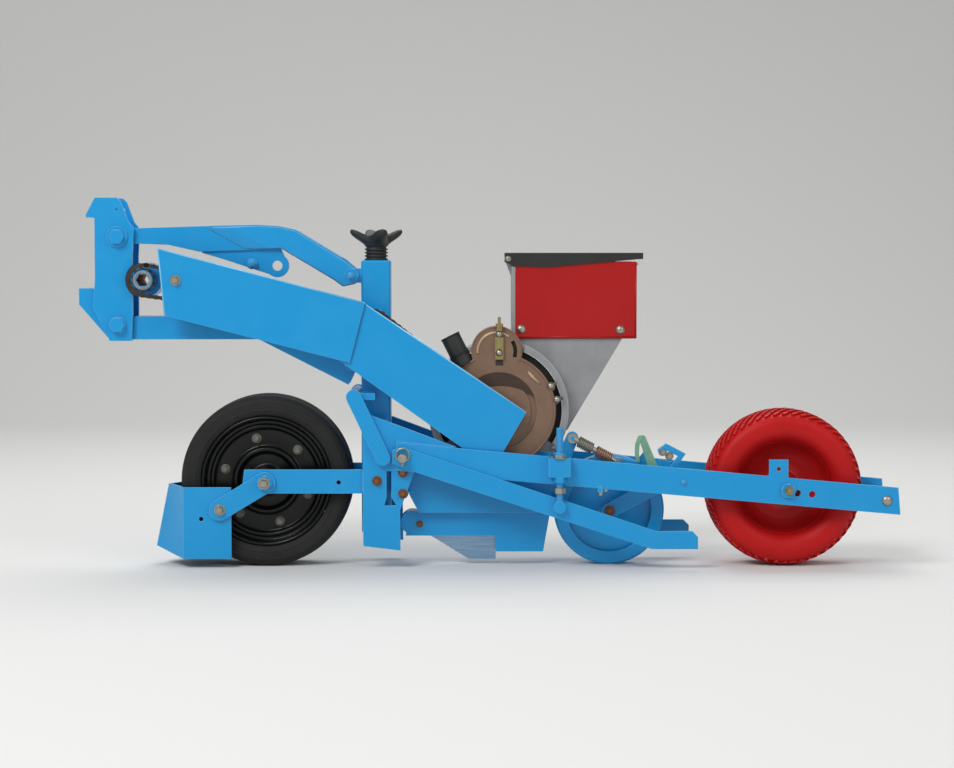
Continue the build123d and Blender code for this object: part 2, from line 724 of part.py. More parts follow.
# Chain arm: a bar that swings on the jack shaft and carries the front guard on two studs
guard_stud_reach = 61.0
rear_stud_reach = 340.0
rear_stud_drop = 57.0
chain_arm_half_width = 11.0
stud_radius = 6.0
guard_stud = (drive_hub[0] + guard_stud_reach, drive_hub[1])
rear_stud = (drive_hub[0] + rear_stud_reach, drive_hub[1] - rear_stud_drop)
front_guard_outside = rail_inside + sheet
rear_guard_outside = side_plate_inside + link_gap
with BuildPart() as chain_arm:
    with BuildSketch(Plane.XZ.offset(chain_arm_inside)):
        loop_face(jack_shaft, jack_radius + tooth_depth + tooth_depth, guard_stud, chain_arm_half_width)
        with Locations(jack_shaft):
            Circle(jack_radius + fit, mode=Mode.SUBTRACT)
    extrude(amount=chain_arm_thickness)
    with BuildSketch(Plane.XZ.offset(chain_arm_inside)):
        with Locations(guard_stud, rear_stud):
            Circle(stud_radius)
    extrude(amount=front_guard_outside - sheet - chain_arm_inside)
chain_arm.part.label = "chain_arm"
export_step(chain_arm.part, "parts/chain_arm.step")


def edge_bar(start, end, share, thickness):
    """Four points of a bar on the inner side of an edge, from its start to a share of its length."""
    dx, dz = end[0] - start[0], end[1] - start[1]
    size = hypot(dx, dz)
    in_x, in_z = -dz * thickness / size, dx * thickness / size
    stop = (start[0] + share * dx, start[1] + share * dz)
    return [start, stop, (stop[0] + in_x, stop[1] + in_z), (start[0] + in_x, start[1] + in_z)]


# Front chain guard: a folded sheet cover, open towards the row and cut back over the rear guard
guard_depth = 100.0
flange_depth = 12.0
flange_share = 0.84
front_guard_shares = [(0.072, 0.61), (0.949, 0.264), (0.884, -0.851), (0.10, -0.56)]
front_guard_points = along(front_guard_shares, drive_hub, link_reach, link_rise, guard_depth)
with BuildPart() as front_guard:
    with BuildSketch(Plane.XZ.offset(front_guard_outside - sheet)):
        polygon(front_guard_points)
    extrude(amount=sheet)
    with BuildSketch(Plane.XZ.offset(front_guard_outside - sheet - flange_depth)):
        polygon(edge_bar(front_guard_points[0], front_guard_points[1], flange_share, -sheet))
        polygon(edge_bar(front_guard_points[3], front_guard_points[2], flange_share, sheet))
    extrude(amount=flange_depth)
front_guard.part.label = "front_guard"
export_step(front_guard.part, "parts/front_guard.step")

# Rear chain guard, tucked under the rear edge of the front guard and held by two studs
rear_guard_shares = [(-0.112, 0.092), (1.266, 0.581), (0.983, -0.949), (-0.316, -1.299)]
guard_stud_setback = 12.0
guard_stud_drop = 47.0
guard_run = meter_shaft[0] - jack_shaft[0]
guard_fall = jack_shaft[1] - meter_shaft[1]
rear_guard_points = along(rear_guard_shares, jack_shaft, guard_run, guard_fall, guard_depth)
with BuildPart() as rear_guard:
    with BuildSketch(Plane.XZ.offset(rear_guard_outside - sheet)):
        polygon(rear_guard_points)
    extrude(amount=sheet)
    with BuildSketch(Plane.XZ.offset(rear_guard_outside - sheet - flange_depth)):
        polygon(edge_bar(rear_guard_points[3], rear_guard_points[2], 1, sheet))
    extrude(amount=flange_depth)
    with BuildSketch(Plane.XZ.offset(shaft_end + seat_gap)):
        with Locations(meter_shaft):
            Circle(stud_radius)
    extrude(amount=rear_guard_outside - shaft_end - seat_gap)
    with BuildSketch(Plane.XZ.offset(column_size / 2)):
        with Locations((column_x + guard_stud_setback, jack_shaft[1] - guard_stud_drop)):
            Circle(stud_radius)
    extrude(amount=rear_guard_outside - column_size / 2)
rear_guard.part.label = "rear_guard"
export_step(rear_guard.part, "parts/rear_guard.step")

# Meter: a cast ring housing with a raised lip round its upper half
meter_centre = (meter_x, meter_z)
ring_near_y = -34.0
ring_far_y = -14.0
ring_lip_width = 9.0
lip_height = 6.0
lip_base_drop = 70.0
cover_edge = 24.0
ear_shift = 3.6
ear_sink = 21.0
ear_radius = 46.0
cover_radius = meter_ring_radius - cover_edge
ear_centre = (meter_x - ear_shift, meter_z + meter_ring_radius - ear_sink)
with BuildPart() as meter_housing:
    with BuildSketch(Plane.XZ.offset(-ring_far_y)):
        with Locations(meter_centre):
            Circle(meter_ring_radius)
    extrude(amount=ring_far_y - ring_near_y)
    with BuildSketch(Plane.XZ.offset(-ring_near_y)):
        with Locations(meter_centre):
            Circle(meter_ring_radius)
            Circle(meter_ring_radius - ring_lip_width, mode=Mode.SUBTRACT)
        with Locations(ear_centre):
            Circle(ear_radius + seat_gap, mode=Mode.SUBTRACT)
        with Locations((meter_x, meter_z - meter_ring_radius - lip_base_drop)):
            Rectangle(2 * meter_ring_radius, 2 * meter_ring_radius, mode=Mode.SUBTRACT)
    extrude(amount=lip_height)
meter_housing.part.label = "meter_housing"
export_step(meter_housing.part, "parts/meter_housing.step")

# Meter cover with a crescent recess, two clamp lugs on its edge, and an ear with a curved slot
cover_near_y = -meter_cover_outside
recess_radius = 69.0
recess_width = 12.0
recess_depth = 5.0
lug_angles = (24.0, 10.0)
cover_lug_radius = 7.0
ear_slot_radius = 37.0
ear_slot_width = 7.0
ear_slot_angles = (-18.0, 34.0)
with BuildPart() as meter_cover:
    with BuildSketch(Plane.XZ.offset(-ring_near_y)):
        with Locations(meter_centre):
            Circle(cover_radius)
        with Locations(ear_centre):
            Circle(ear_radius)
        for angle in lug_angles:
            with Locations(meter_centre):
                with PolarLocations(cover_radius, 1, angle):
                    Circle(cover_lug_radius)
    extrude(amount=ring_near_y - cover_near_y)
    with BuildSketch(Plane.XZ.offset(-cover_near_y - recess_depth)):
        with Locations(meter_centre):
            Circle(recess_radius)
            Circle(recess_radius - recess_width, mode=Mode.SUBTRACT)
    extrude(amount=recess_depth, mode=Mode.SUBTRACT)
    with BuildSketch(Plane.XZ.offset(-cover_near_y - recess_depth)):
        with Locations(ear_centre):
            Circle(ear_slot_radius)
            Circle(ear_slot_radius - ear_slot_width, mode=Mode.SUBTRACT)
        polygon([ear_centre] + [
            (ear_centre[0] + 2 * ear_radius * cos(way), ear_centre[1] + 2 * ear_radius * sin(way))
            for way in (radians(ear_slot_angles[0]), radians(ear_slot_angles[1]))
        ], Mode.INTERSECT)
    extrude(amount=recess_depth, mode=Mode.SUBTRACT)
meter_cover.part.label = "meter_cover"
export_step(meter_cover.part, "parts/meter_cover.step")

# Cover latch: a bail strap on the ear with a stem and a ball nut above it
latch_strap = (15.0, 40.0)
latch_shift = (4.5, 6.0)
stem_radius = 3.0
stem_length = 36.0
ball_radius = 6.5
ball_lift = 18.0
latch_middle = (ear_centre[0] + latch_shift[0], ear_centre[1] + latch_shift[1])
latch_y = cover_near_y - lip_height / 2
ball_y = cover_near_y - ball_radius - seat_gap
latch_top_z = latch_middle[1] + latch_strap[1] / 2
with BuildPart() as meter_latch:
    with BuildSketch(Plane.XZ.offset(-cover_near_y)):
        with Locations(latch_middle):
            Rectangle(latch_strap[0], latch_strap[1])
    extrude(amount=lip_height)
    with BuildSketch(Plane.XY.offset(latch_middle[1])):
        with Locations((latch_middle[0], latch_y)):
            Circle(stem_radius - seat_gap)
    extrude(amount=latch_strap[1] / 2 + stem_length)
    with BuildSketch(Plane.XY.offset(latch_top_z + ball_lift - ball_radius)):
        with Locations((latch_middle[0], ball_y)):
            RegularPolygon(ball_radius, side_count=8)
    extrude(amount=2 * ball_radius)
meter_latch.part.label = "meter_latch"
export_step(meter_latch.part, "parts/meter_latch.step")

# Air stub: a short black pipe that leans forward out of the cover
stub_radius = 17.5
stub_bore = 14.5
stub_shift = (-87.7, 134.0)
stub_lean = 26.6
stub_length = 78.0
stub_y = -43.0
stub_bore_depth = 50.0
stub_plane = Plane(
    origin=(meter_x + stub_shift[0], stub_y, meter_z + stub_shift[1]),
    x_dir=(0, 1, 0),
    z_dir=(sin(radians(stub_lean)), 0, -cos(radians(stub_lean))),
)
with BuildPart() as air_stub:
    with BuildSketch(stub_plane):
        Circle(stub_radius)
    extrude(amount=stub_length)
    with BuildSketch(stub_plane):
        Circle(stub_bore)
    extrude(amount=stub_bore_depth, mode=Mode.SUBTRACT)
    with BuildSketch(Plane.XZ.offset(-ring_near_y + lip_height + seat_gap)):
        with Locations(meter_centre):
            Circle(meter_ring_radius + seat_gap)
    extrude(amount=-meter_ring_radius, mode=Mode.SUBTRACT)
    with BuildSketch(Plane.XZ):
        with Locations(meter_centre):
            Circle(cover_radius + seat_gap)
        with Locations(ear_centre):
            Circle(ear_radius + seat_gap)
    extrude(amount=meter_ring_radius, mode=Mode.SUBTRACT)
air_stub.part.label = "air_stub"
export_step(air_stub.part, "parts/air_stub.step")

# Seed chamber behind the ring, cast in one with the funnel under the hopper
hopper_setback = 30.0
half_width = 110.0
lid_wall = 2.0
hopper_near_y = -18.0
funnel_wall = 4.0
funnel_lead = 3.0
funnel_length = 197.0
funnel_side_gap = 2.0
funnel_base_setback = 21.0
funnel_base_length = 104.0
funnel_base_drop = 38.0
chamber_edge = 15.0
chamber_far_y = 24.0
hopper_front_x = meter_x + hopper_setback
hopper_far_y = half_width - lid_wall - seat_gap
funnel_top_x = (hopper_front_x - funnel_lead, hopper_front_x - funnel_lead + funnel_length)
funnel_base_x = (meter_x + funnel_base_setback, meter_x + funnel_base_setback + funnel_base_length)
chamber_radius = meter_ring_radius - chamber_edge


def level_box(z, x_range, y_range, inset):
    """Rectangle at one height, drawn as a sketch for a loft."""
    with BuildSketch(Plane.XY.offset(z)) as level:
        with Locations(((x_range[0] + x_range[1]) / 2, (y_range[0] + y_range[1]) / 2)):
            Rectangle(x_range[1] - x_range[0] - 2 * inset, y_range[1] - y_range[0] - 2 * inset)
    return level.sketch


funnel_levels = [
    (hopper_base_z, funnel_top_x, (ring_far_y, hopper_far_y - funnel_side_gap)),
    (meter_z - funnel_base_drop, funnel_base_x, (ring_far_y, chamber_far_y)),
]
with BuildPart() as seed_chamber:
    loft([level_box(z, xs, ys, 0) for z, xs, ys in funnel_levels], ruled=True)
    with BuildSketch(Plane.XZ.offset(-chamber_far_y)):
        with Locations(meter_centre):
            Circle(chamber_radius)
    extrude(amount=chamber_far_y - ring_far_y)
    loft([level_box(z, xs, ys, funnel_wall) for z, xs, ys in funnel_levels], ruled=True, mode=Mode.SUBTRACT)
seed_chamber.part.label = "seed_chamber"
export_step(seed_chamber.part, "parts/seed_chamber.step")

# Hopper: a sheet box, open above and over the funnel
hopper_wall = 2.5
hopper_rear_x = hopper_front_x + hopper_length
hopper_top_z = hopper_base_z + hopper_height
hopper_middle = ((hopper_front_x + hopper_rear_x) / 2, (hopper_near_y + hopper_far_y) / 2)
with BuildPart() as hopper:
    with BuildSketch(Plane.XY.offset(hopper_base_z)):
        with Locations(hopper_middle):
            Rectangle(hopper_length, hopper_far_y - hopper_near_y)
    extrude(amount=hopper_height)
    with BuildSketch(Plane.XY.offset(hopper_base_z + hopper_wall)):
        with Locations(hopper_middle):
            Rectangle(hopper_length - 2 * hopper_wall, hopper_far_y - hopper_near_y - 2 * hopper_wall)
    extrude(amount=hopper_height, mode=Mode.SUBTRACT)
    extrude(
        level_box(*funnel_levels[0], funnel_wall + hopper_wall), amount=hopper_wall, mode=Mode.SUBTRACT
    )
hopper.part.label = "hopper"
export_step(hopper.part, "parts/hopper.step")

# Grey edge strip on the hopper's front, which carries the lid's hinge
strip_drop = 9.0
strip_thickness = 6.0
hinge_lead = 12.5
hinge_lift = 5.0
hinge_radius = 4.0
hinge_boss_radius = 6.5
hinge_half_width = 20.0
hinge_web = (2.0, 20.0)
strip_top_z = hopper_top_z - strip_drop
hinge_place = (hopper_front_x - hinge_lead, hopper_top_z + hinge_lift)
with BuildPart() as hinge_strip:
    with BuildSketch(Plane.XY.offset(hopper_base_z)):
        with Locations((hopper_front_x - strip_thickness / 2, hopper_middle[1])):
            Rectangle(strip_thickness, hopper_far_y - hopper_near_y)
    extrude(amount=strip_top_z - hopper_base_z)
    with BuildSketch(Plane.XZ.offset(-hopper_middle[1])):
        with Locations(hinge_place):
            Circle(hinge_boss_radius)
        polygon([
            (hinge_place[0] - hinge_boss_radius, hinge_place[1]),
            (hinge_place[0] + hinge_boss_radius, hinge_place[1]),
            (hopper_front_x, strip_top_z - hinge_web[0]),
            (hopper_front_x - strip_thickness, strip_top_z - hinge_web[1]),
        ])
        with Locations(hinge_place):
            Circle(hinge_radius + fit, mode=Mode.SUBTRACT)
    extrude(amount=hinge_half_width, both=True)
hinge_strip.part.label = "hinge_strip"
export_step(hinge_strip.part, "parts/hinge_strip.step")

# Hopper lid: a plate with tapered skirts and a hinge pin
lid_plate = 3.0
lid_lead = 18.0
lid_tail = 13.0
lid_lift = 16.0
lid_skirt = 26.0
lid_shares = [
    (0.0, 1.0), (1.0, 1.0), (1.0, 0.577), (0.948, 0.538), (0.313, 0.0), (0.06, 0.077), (0.0, 0.346),
]
lid_front_x = hopper_front_x - lid_lead
lid_length = hopper_length + lid_lead + lid_tail
lid_top_z = hopper_top_z + lid_lift
lid_near_y = hopper_near_y - lid_wall - seat_gap
with BuildPart() as hopper_lid:
    with BuildSketch(Plane.XZ.offset(-half_width)):
        polygon(outline(lid_shares, (lid_front_x, lid_top_z - lid_skirt), (lid_length, lid_skirt)))
    extrude(amount=half_width - lid_near_y)
    with BuildSketch(Plane.XY.offset(lid_top_z - lid_plate)):
        with Locations((lid_front_x + (lid_length - lid_wall) / 2, (half_width + lid_near_y) / 2)):
            Rectangle(lid_length - lid_wall, half_width - lid_near_y - 2 * lid_wall)
    extrude(amount=-lid_skirt, mode=Mode.SUBTRACT)
    with BuildSketch(Plane.XZ.offset(-half_width)):
        with Locations(hinge_place):
            Circle(hinge_radius)
    extrude(amount=half_width - lid_near_y)
hopper_lid.part.label = "hopper_lid"
export_step(hopper_lid.part, "parts/hopper_lid.step")

# Body plates on both sides of the shoe, cut round the meter; the near one has the spring's ear
body_inside = 34.0
body_setback = 8.0
body_reach = 94.0
body_top_drop = 76.0
body_base_z = 97.0
spacer_radius = 10.0
spacer_drops = (28.5, 66.0)
spring_ear_foot = (5.0, 53.0)
spring_ear_top = (39.0, 136.0)
spring_ear_radius = 11.0
spring_pin_radius = 4.0
spring_pin_length = 18.0
body_front_x = column_rear_x + body_setback
body_rear_x = meter_x + body_reach
body_size = (body_rear_x - body_front_x, meter_z - body_top_drop - body_base_z)
body_shares = [(0.0, 1.0), (0.0, 0.745), (0.153, 0.0), (1.0, 0.0), (1.0, 1.0)]
spacer_places = [(arm_pin[0], arm_pin[1] - drop) for drop in spacer_drops]
spring_foot = (body_rear_x + spring_ear_foot[0], body_base_z + spring_ear_foot[1])
spring_top = (body_rear_x + spring_ear_top[0], body_base_z + spring_ear_top[1])
for side in SIDES:
    with BuildPart() as body_plate:
        with BuildSketch(side_plane(body_inside, side_plate, side)):
            polygon(outline(body_shares, (body_front_x, body_base_z), body_size))
            if side == "near":
                loop_face(spring_foot, spring_ear_radius + link_gap, spring_top, spring_ear_radius)
            with Locations(meter_centre):
                Circle(cover_radius + seat_gap, mode=Mode.SUBTRACT)
            with Locations(*spacer_places):
                Circle(spacer_radius + seat_gap, mode=Mode.SUBTRACT)
            with Locations(arm_pin):
                Circle(pin_diameter / 2 + seat_gap, mode=Mode.SUBTRACT)
        extrude(amount=side_plate)
        if side == "near":
            with BuildSketch(Plane.XZ.offset(body_inside)):
                with Locations(spring_top):
                    Circle(spring_pin_radius)
            extrude(amount=side_plate + spring_pin_length)
    body_plate.part.label = f"body_plate_{side}"
    export_step(body_plate.part, f"parts/body_plate_{side}.step")

# Spacer tubes from side plate to side plate, through the body plates
with BuildPart() as plate_spacers:
    with BuildSketch(Plane.XZ):
        with Locations(*spacer_places):
            Circle(spacer_radius)
    extrude(amount=side_plate_inside, both=True)
plate_spacers.part.label = "plate_spacers"
export_step(plate_spacers.part, "parts/plate_spacers.step")

# Shoe: two walls joined at the front, open behind, with a flange under the body plates
shoe_half_width = 22.0
shoe_wall = 5.0
shoe_flange = 8.0
shoe_base_z = 24.0
shoe_lead = 169.0
shoe_ear_shift = (12.0, 20.0)
shoe_ear_radius = 21.0
shoe_opening_lead = 50.0
flange_lead = 144.0
tube_shift = 30.0
tube_radius = 14.0
step_share = 0.624
step_rise_share = 0.397
shoe_shares = [
    (0.046, 1.0), (1.0, 1.0), (0.951, 0.0), (step_share, 0.0), (step_share, step_rise_share),
    (0.0, step_rise_share),
]
shoe_front_x = meter_x - shoe_lead
shoe_size = (body_rear_x - shoe_front_x, body_base_z - shoe_base_z)
shoe_step_x = shoe_front_x + step_share * shoe_size[0]
shoe_mid_z = shoe_base_z + step_rise_share * shoe_size[1]
opening_length = body_rear_x + overrun - meter_x + shoe_opening_lead
tube_place = (meter_x + tube_shift, 0)
with BuildPart() as shoe:
    with BuildSketch(Plane.XZ):
        polygon(outline(shoe_shares, (shoe_front_x, shoe_base_z), shoe_size))
        with Locations((shoe_front_x + shoe_ear_shift[0], body_base_z - shoe_ear_shift[1])):
            Circle(shoe_ear_radius)
    extrude(amount=shoe_half_width, both=True)
    with BuildSketch(Plane.XZ):
        with Locations((meter_x - shoe_opening_lead + opening_length / 2, body_base_z / 2)):
            Rectangle(opening_length, body_base_z)
    extrude(amount=shoe_half_width - shoe_wall, both=True, mode=Mode.SUBTRACT)
    with BuildSketch(Plane.XY.offset(body_base_z)):
        with Locations(((meter_x - flange_lead + body_rear_x) / 2, 0)):
            Rectangle(body_rear_x - meter_x + flange_lead, 2 * body_inside)
        with Locations(tube_place):
            Circle(tube_radius + seat_gap, mode=Mode.SUBTRACT)
    extrude(amount=shoe_flange)
shoe.part.label = "shoe"
export_step(shoe.part, "parts/shoe.step")

# Wear blade under the front of the shoe
blade_half_width = 9.0
blade_base_z = 8.5
blade_lead = 121.0
blade_shares = [(0.0, 1.0), (0.599, 0.0), (1.0, 0.0), (1.0, 1.0)]
blade_size = (blade_lead, shoe_mid_z - blade_base_z)
with BuildPart() as wear_blade:
    with BuildSketch(Plane.XZ):
        polygon(outline(blade_shares, (shoe_step_x - blade_lead, blade_base_z), blade_size))
    extrude(amount=blade_half_width, both=True)
wear_blade.part.label = "wear_blade"
export_step(wear_blade.part, "parts/wear_blade.step")

# Seed tube from the seed chamber down into the shoe
tube_base_z = 45.0
with BuildPart() as seed_tube:
    with BuildSketch(Plane.XY.offset(tube_base_z)):
        with Locations(tube_place):
            Circle(tube_radius)
    extrude(amount=meter_z - chamber_radius + overrun - tube_base_z)
    with BuildSketch(Plane.XZ.offset(-chamber_far_y)):
        with Locations(meter_centre):
            Circle(chamber_radius + seat_gap)
    extrude(amount=2 * chamber_far_y, mode=Mode.SUBTRACT)
    with BuildSketch(Plane.XY.offset(tube_base_z)):
        with Locations(tube_place):
            Circle(tube_radius - sheet)
    extrude(amount=meter_ring_radius, mode=Mode.SUBTRACT)
seed_tube.part.label = "seed_tube"
export_step(seed_tube.part, "parts/seed_tube.step")

# Rails from the side plates to the tail, each with an adjuster lug outside and a tab above its rear end
wheel_to_body_gap = 7.0
rear_wheel_gap = 74.0
rail_lead = 12.0
rail_tail = 59.0
rail_axle_drop = 2.5
rail_tail_cut = (4.0, 2.0)
adjuster_setback = 280.0
lug_width = 38.0
lug_height = 34.0
lug_reach = 20.0
lug_lift = 8.0
rod_radius = 6.0
rail_hole_shifts = ((17.0, -5.0), (43.0, -7.0))
tab_lead = 34.0
tab_rise = 55.0
tab_hole_drop = 16.5
tail_bolt_setback = 23.0
press_wheel_x = body_rear_x + wheel_to_body_gap + press_wheel_radius
rear_wheel_x = press_wheel_x + press_wheel_radius + rear_wheel_gap + rear_wheel_radius
rear_wheel_centre = (rear_wheel_x, rear_wheel_radius)
rail_front_x = arm_pin[0] - rail_lead
rail_tail_x = rear_wheel_x + rear_wheel_radius + rail_tail
rail_fall = (arm_pin[1] - rear_wheel_radius + rail_axle_drop) / (rear_wheel_x - arm_pin[0])
adjuster_x = arm_pin[0] + adjuster_setback
adjuster_inside = arm_inside + side_plate + seat_gap + rod_radius


def on_rail(x, above):
    """Place at x on the line through the rails' middles, moved up by the given height."""
    return (x, arm_pin[1] - (x - arm_pin[0]) * rail_fall + above)


tail_bolt = on_rail(rail_tail_x - tail_bolt_setback, 0)
rail_points = [
    on_rail(rail_front_x, rail_height / 2), on_rail(rail_tail_x - rail_tail_cut[0], rail_height / 2),
    on_rail(rail_tail_x, rail_tail_cut[1] - rail_height / 2), on_rail(rail_front_x, -rail_height / 2),
]
tab_top_z = rear_wheel_radius + tab_rise
tab_points = [
    (rear_wheel_x - tab_lead, rear_wheel_radius), (rear_wheel_x - tab_lead, tab_top_z),
    (rear_wheel_x, tab_top_z), (rear_wheel_x, rear_wheel_radius),
]
rail_holes = [(rear_wheel_x + shift[0], rear_wheel_radius + shift[1]) for shift in rail_hole_shifts]
for side in SIDES:
    with BuildPart() as rail:
        with BuildSketch(side_plane(rail_inside, plate, side)):
            polygon(rail_points)
            polygon(tab_points)
            with Locations(arm_pin, rear_wheel_centre):
                Circle(pin_diameter / 2 + fit, mode=Mode.SUBTRACT)
            with Locations(*rail_holes):
                Circle(bolt_diameter / 2, mode=Mode.SUBTRACT)
            with Locations((rear_wheel_x - tab_lead / 2, tab_top_z - tab_hole_drop)):
                Circle(bolt_diameter / 3, mode=Mode.SUBTRACT)
        extrude(amount=plate)
        with BuildSketch(side_plane(rail_inside + plate, lug_reach, side)):
            with Locations(on_rail(adjuster_x, lug_lift)):
                Rectangle(lug_width, lug_height)
        extrude(amount=lug_reach)
        with BuildSketch(Plane.XY):
            with Locations((adjuster_x, -adjuster_inside), (adjuster_x, adjuster_inside)):
                Circle(rod_radius + seat_gap)
        extrude(amount=meter_z, mode=Mode.SUBTRACT)
    rail.part.label = f"rail_{side}"
    export_step(rail.part, f"parts/rail_{side}.step")

# Tail tube between the rails' ends
with BuildPart() as tail_tube:
    with BuildSketch(Plane.XZ):
        with Locations(tail_bolt):
            Circle(bolt_diameter)
    extrude(amount=rail_inside, both=True)
tail_tube.part.label = "tail_tube"
export_step(tail_tube.part, "parts/tail_tube.step")

# Arm pin through side plates, rails and covering arms
with BuildPart() as arm_pin_part:
    with BuildSketch(Plane.XZ):
        with Locations(arm_pin):
            Circle(pin_diameter / 2)
    extrude(amount=half_width, both=True)
arm_pin_part.part.label = "arm_pin"
export_step(arm_pin_part.part, "parts/arm_pin.step")

# Covering arms: bars that slope down from the arm pin and run level at their tails
cover_tail_z = 53.4
cover_tail_reach = 155.0
arm_box = (press_wheel_x + cover_tail_reach - arm_pin[0], arm_pin[1] - cover_tail_z)
arm_shares = [
    (-0.034, 1.094), (0.0, 1.128), (0.859, 0.108), (0.981, 0.108), (1.0, 0.04), (1.0, -0.108),
    (0.844, -0.108), (0.0, 0.872), (-0.034, 0.933),
]
for side in SIDES:
    with BuildPart() as covering_arm:
        with BuildSketch(side_plane(arm_inside, side_plate, side)):
            polygon(outline(arm_shares, (arm_pin[0], cover_tail_z), arm_box))
            with Locations(arm_pin):
                Circle(pin_diameter / 2 + fit, mode=Mode.SUBTRACT)
        extrude(amount=side_plate)
    covering_arm.part.label = f"covering_arm_{side}"
    export_step(covering_arm.part, f"parts/covering_arm_{side}.step")

# Adjusters: threaded rods that hang the covering arms from the rails' lugs
rod_rise = 65.0
eye_share = 0.594
rod_eye_radius = 11.0
nut_radius = 11.0
nut_height = 10.0
eye_bolt = (adjuster_x, arm_pin[1] - eye_share * arm_box[1])
lug_top_z = on_rail(adjuster_x, lug_lift)[1] + lug_height / 2
for side, way in (("near", -1), ("far", 1)):
    with BuildPart() as adjuster:
        with BuildSketch(Plane.XY.offset(eye_bolt[1])):
            with Locations((adjuster_x, way * adjuster_inside)):
                Circle(rod_radius)
        extrude(amount=lug_top_z + rod_rise - rod_eye_radius - eye_bolt[1])
        with BuildSketch(side_plane(arm_inside + side_plate, 2 * rod_radius, side)):
            with Locations(eye_bolt):
                Circle(rod_eye_radius)
        extrude(amount=2 * rod_radius)
        for nut_z in (lug_top_z, lug_top_z - lug_height - nut_height):
            with BuildSketch(Plane.XY.offset(nut_z)):
                with Locations((adjuster_x, way * adjuster_inside)):
                    RegularPolygon(nut_radius, side_count=6)
            extrude(amount=nut_height)
    adjuster.part.label = f"adjuster_{side}"
    export_step(adjuster.part, f"parts/adjuster_{side}.step")

# Press wheel: a narrow dished steel wheel in the row's middle, with a deep flat rim
press_half_width = 17.0
press_wall = 4.0
press_rim_depth = 23.0
press_hub_radius = 18.0
press_hub_half_length = 24.0
press_axle_radius = 6.0
press_wheel_centre = (press_wheel_x, press_wheel_radius)
with BuildPart() as press_wheel:
    with BuildSketch(wheel_plane(press_wheel_x, press_wheel_radius)):
        polygon(mirrored([
            (press_wall - press_half_width, press_wheel_radius - press_wall),
            (press_wall - press_half_width, press_wheel_radius - press_rim_depth),
            (-press_half_width, press_wheel_radius - press_rim_depth),
            (-press_half_width, press_wheel_radius - press_wall),
            (press_wall - press_half_width, press_wheel_radius),
        ]))
        polygon(mirrored([
            (-press_wall / 2, press_hub_radius - press_wall),
            (-press_wall / 2, press_wheel_radius - press_wall / 2),
        ]))
        polygon(mirrored([
            (-press_hub_half_length, press_axle_radius + fit),
            (-press_hub_half_length, press_hub_radius),
        ]))
    revolve(axis=wheel_axis(press_wheel_x, press_wheel_radius))
press_wheel.part.label = "press_wheel"
export_step(press_wheel.part, "parts/press_wheel.step")

# Press fork: two bars from a pivot tube down to the press wheel, and a plate that meets the spring rod
fork_setback = 110.0
fork_half_width = 14.0
fork_inside = 29.0
spring_plate_inside = 41.0
spring_foot_reach = 98.0
spring_foot_rise = 32.0
spring_eye_radius = 9.0
ear_low_shares = [(0.25, 0.60), (0.54, 1.75), (0.80, 0.60)]
ear_high_shares = [(-0.12, 0.2), (0.10, 0.2), (0.14, 1.40), (0.10, 1.00), (-0.02, 1.00), (-0.26, 1.20)]
fork_pivot = on_rail(press_wheel_x + fork_setback, 0)
spring_bottom = (fork_pivot[0] - spring_foot_reach, fork_pivot[1] + spring_foot_rise)
plate_box = (spring_foot_reach, spring_foot_rise)
with BuildPart() as press_fork:
    for side in SIDES:
        with BuildSketch(side_plane(fork_inside, side_plate, side)):
            loop_face(fork_pivot, fork_half_width, press_wheel_centre, fork_half_width)
        extrude(amount=side_plate)
    with BuildSketch(Plane.XZ):
        with Locations(fork_pivot):
            Circle(bolt_diameter)
    extrude(amount=rail_inside, both=True)
    with BuildSketch(Plane.XZ):
        with Locations(press_wheel_centre):
            Circle(press_axle_radius)
    extrude(amount=fork_inside + side_plate + washer_thickness, both=True)
    with BuildSketch(Plane.XZ.offset(spring_plate_inside)):
        loop_face(fork_pivot, fork_half_width, spring_bottom, spring_eye_radius)
        polygon(outline(ear_low_shares, (spring_bottom[0], fork_pivot[1]), plate_box))
        polygon(outline(ear_high_shares, fork_pivot, plate_box))
    extrude(amount=side_plate)
    with BuildSketch(Plane.XZ.offset(spring_plate_inside)):
        with Locations(spring_bottom):
            Circle(spring_pin_radius)
    extrude(amount=spring_pin_length - seat_gap)
press_fork.part.label = "press_fork"
export_step(press_fork.part, "parts/press_fork.step")

# Spring rod between the body plate's ear and the fork's plate: two eyes, a rod and two spring drums
spring_near_y = -57.0
spring_eye_width = 8.0
spring_rod_radius = 5.0
drum_radius = 8.5
drum_shares = ((0.14, 0.44), (0.54, 0.86))
spring_run = spring_bottom[0] - spring_top[0]
spring_fall = spring_bottom[1] - spring_top[1]
spring_length = hypot(spring_run, spring_fall)
spring_plane = Plane(
    origin=(spring_top[0], spring_near_y + spring_eye_width / 2, spring_top[1]),
    x_dir=(0, 1, 0),
    z_dir=(spring_run, 0, spring_fall),
)
with BuildPart() as spring_rod:
    with BuildSketch(Plane.XZ.offset(-spring_near_y - spring_eye_width)):
        with Locations(spring_top, spring_bottom):
            Circle(spring_eye_radius)
    extrude(amount=spring_eye_width)
    with BuildSketch(spring_plane):
        Circle(spring_rod_radius)
    extrude(amount=spring_length)
    for drum_start, drum_end in drum_shares:
        with BuildSketch(spring_plane.offset(spring_length * drum_start)):
            Circle(drum_radius)
        extrude(amount=spring_length * (drum_end - drum_start))
    with BuildSketch(Plane.XZ):
        with Locations(spring_top, spring_bottom):
            Circle(spring_pin_radius + fit)
    extrude(amount=rail_inside, mode=Mode.SUBTRACT)
spring_rod.part.label = "spring_rod"
export_step(spring_rod.part, "parts/spring_rod.step")

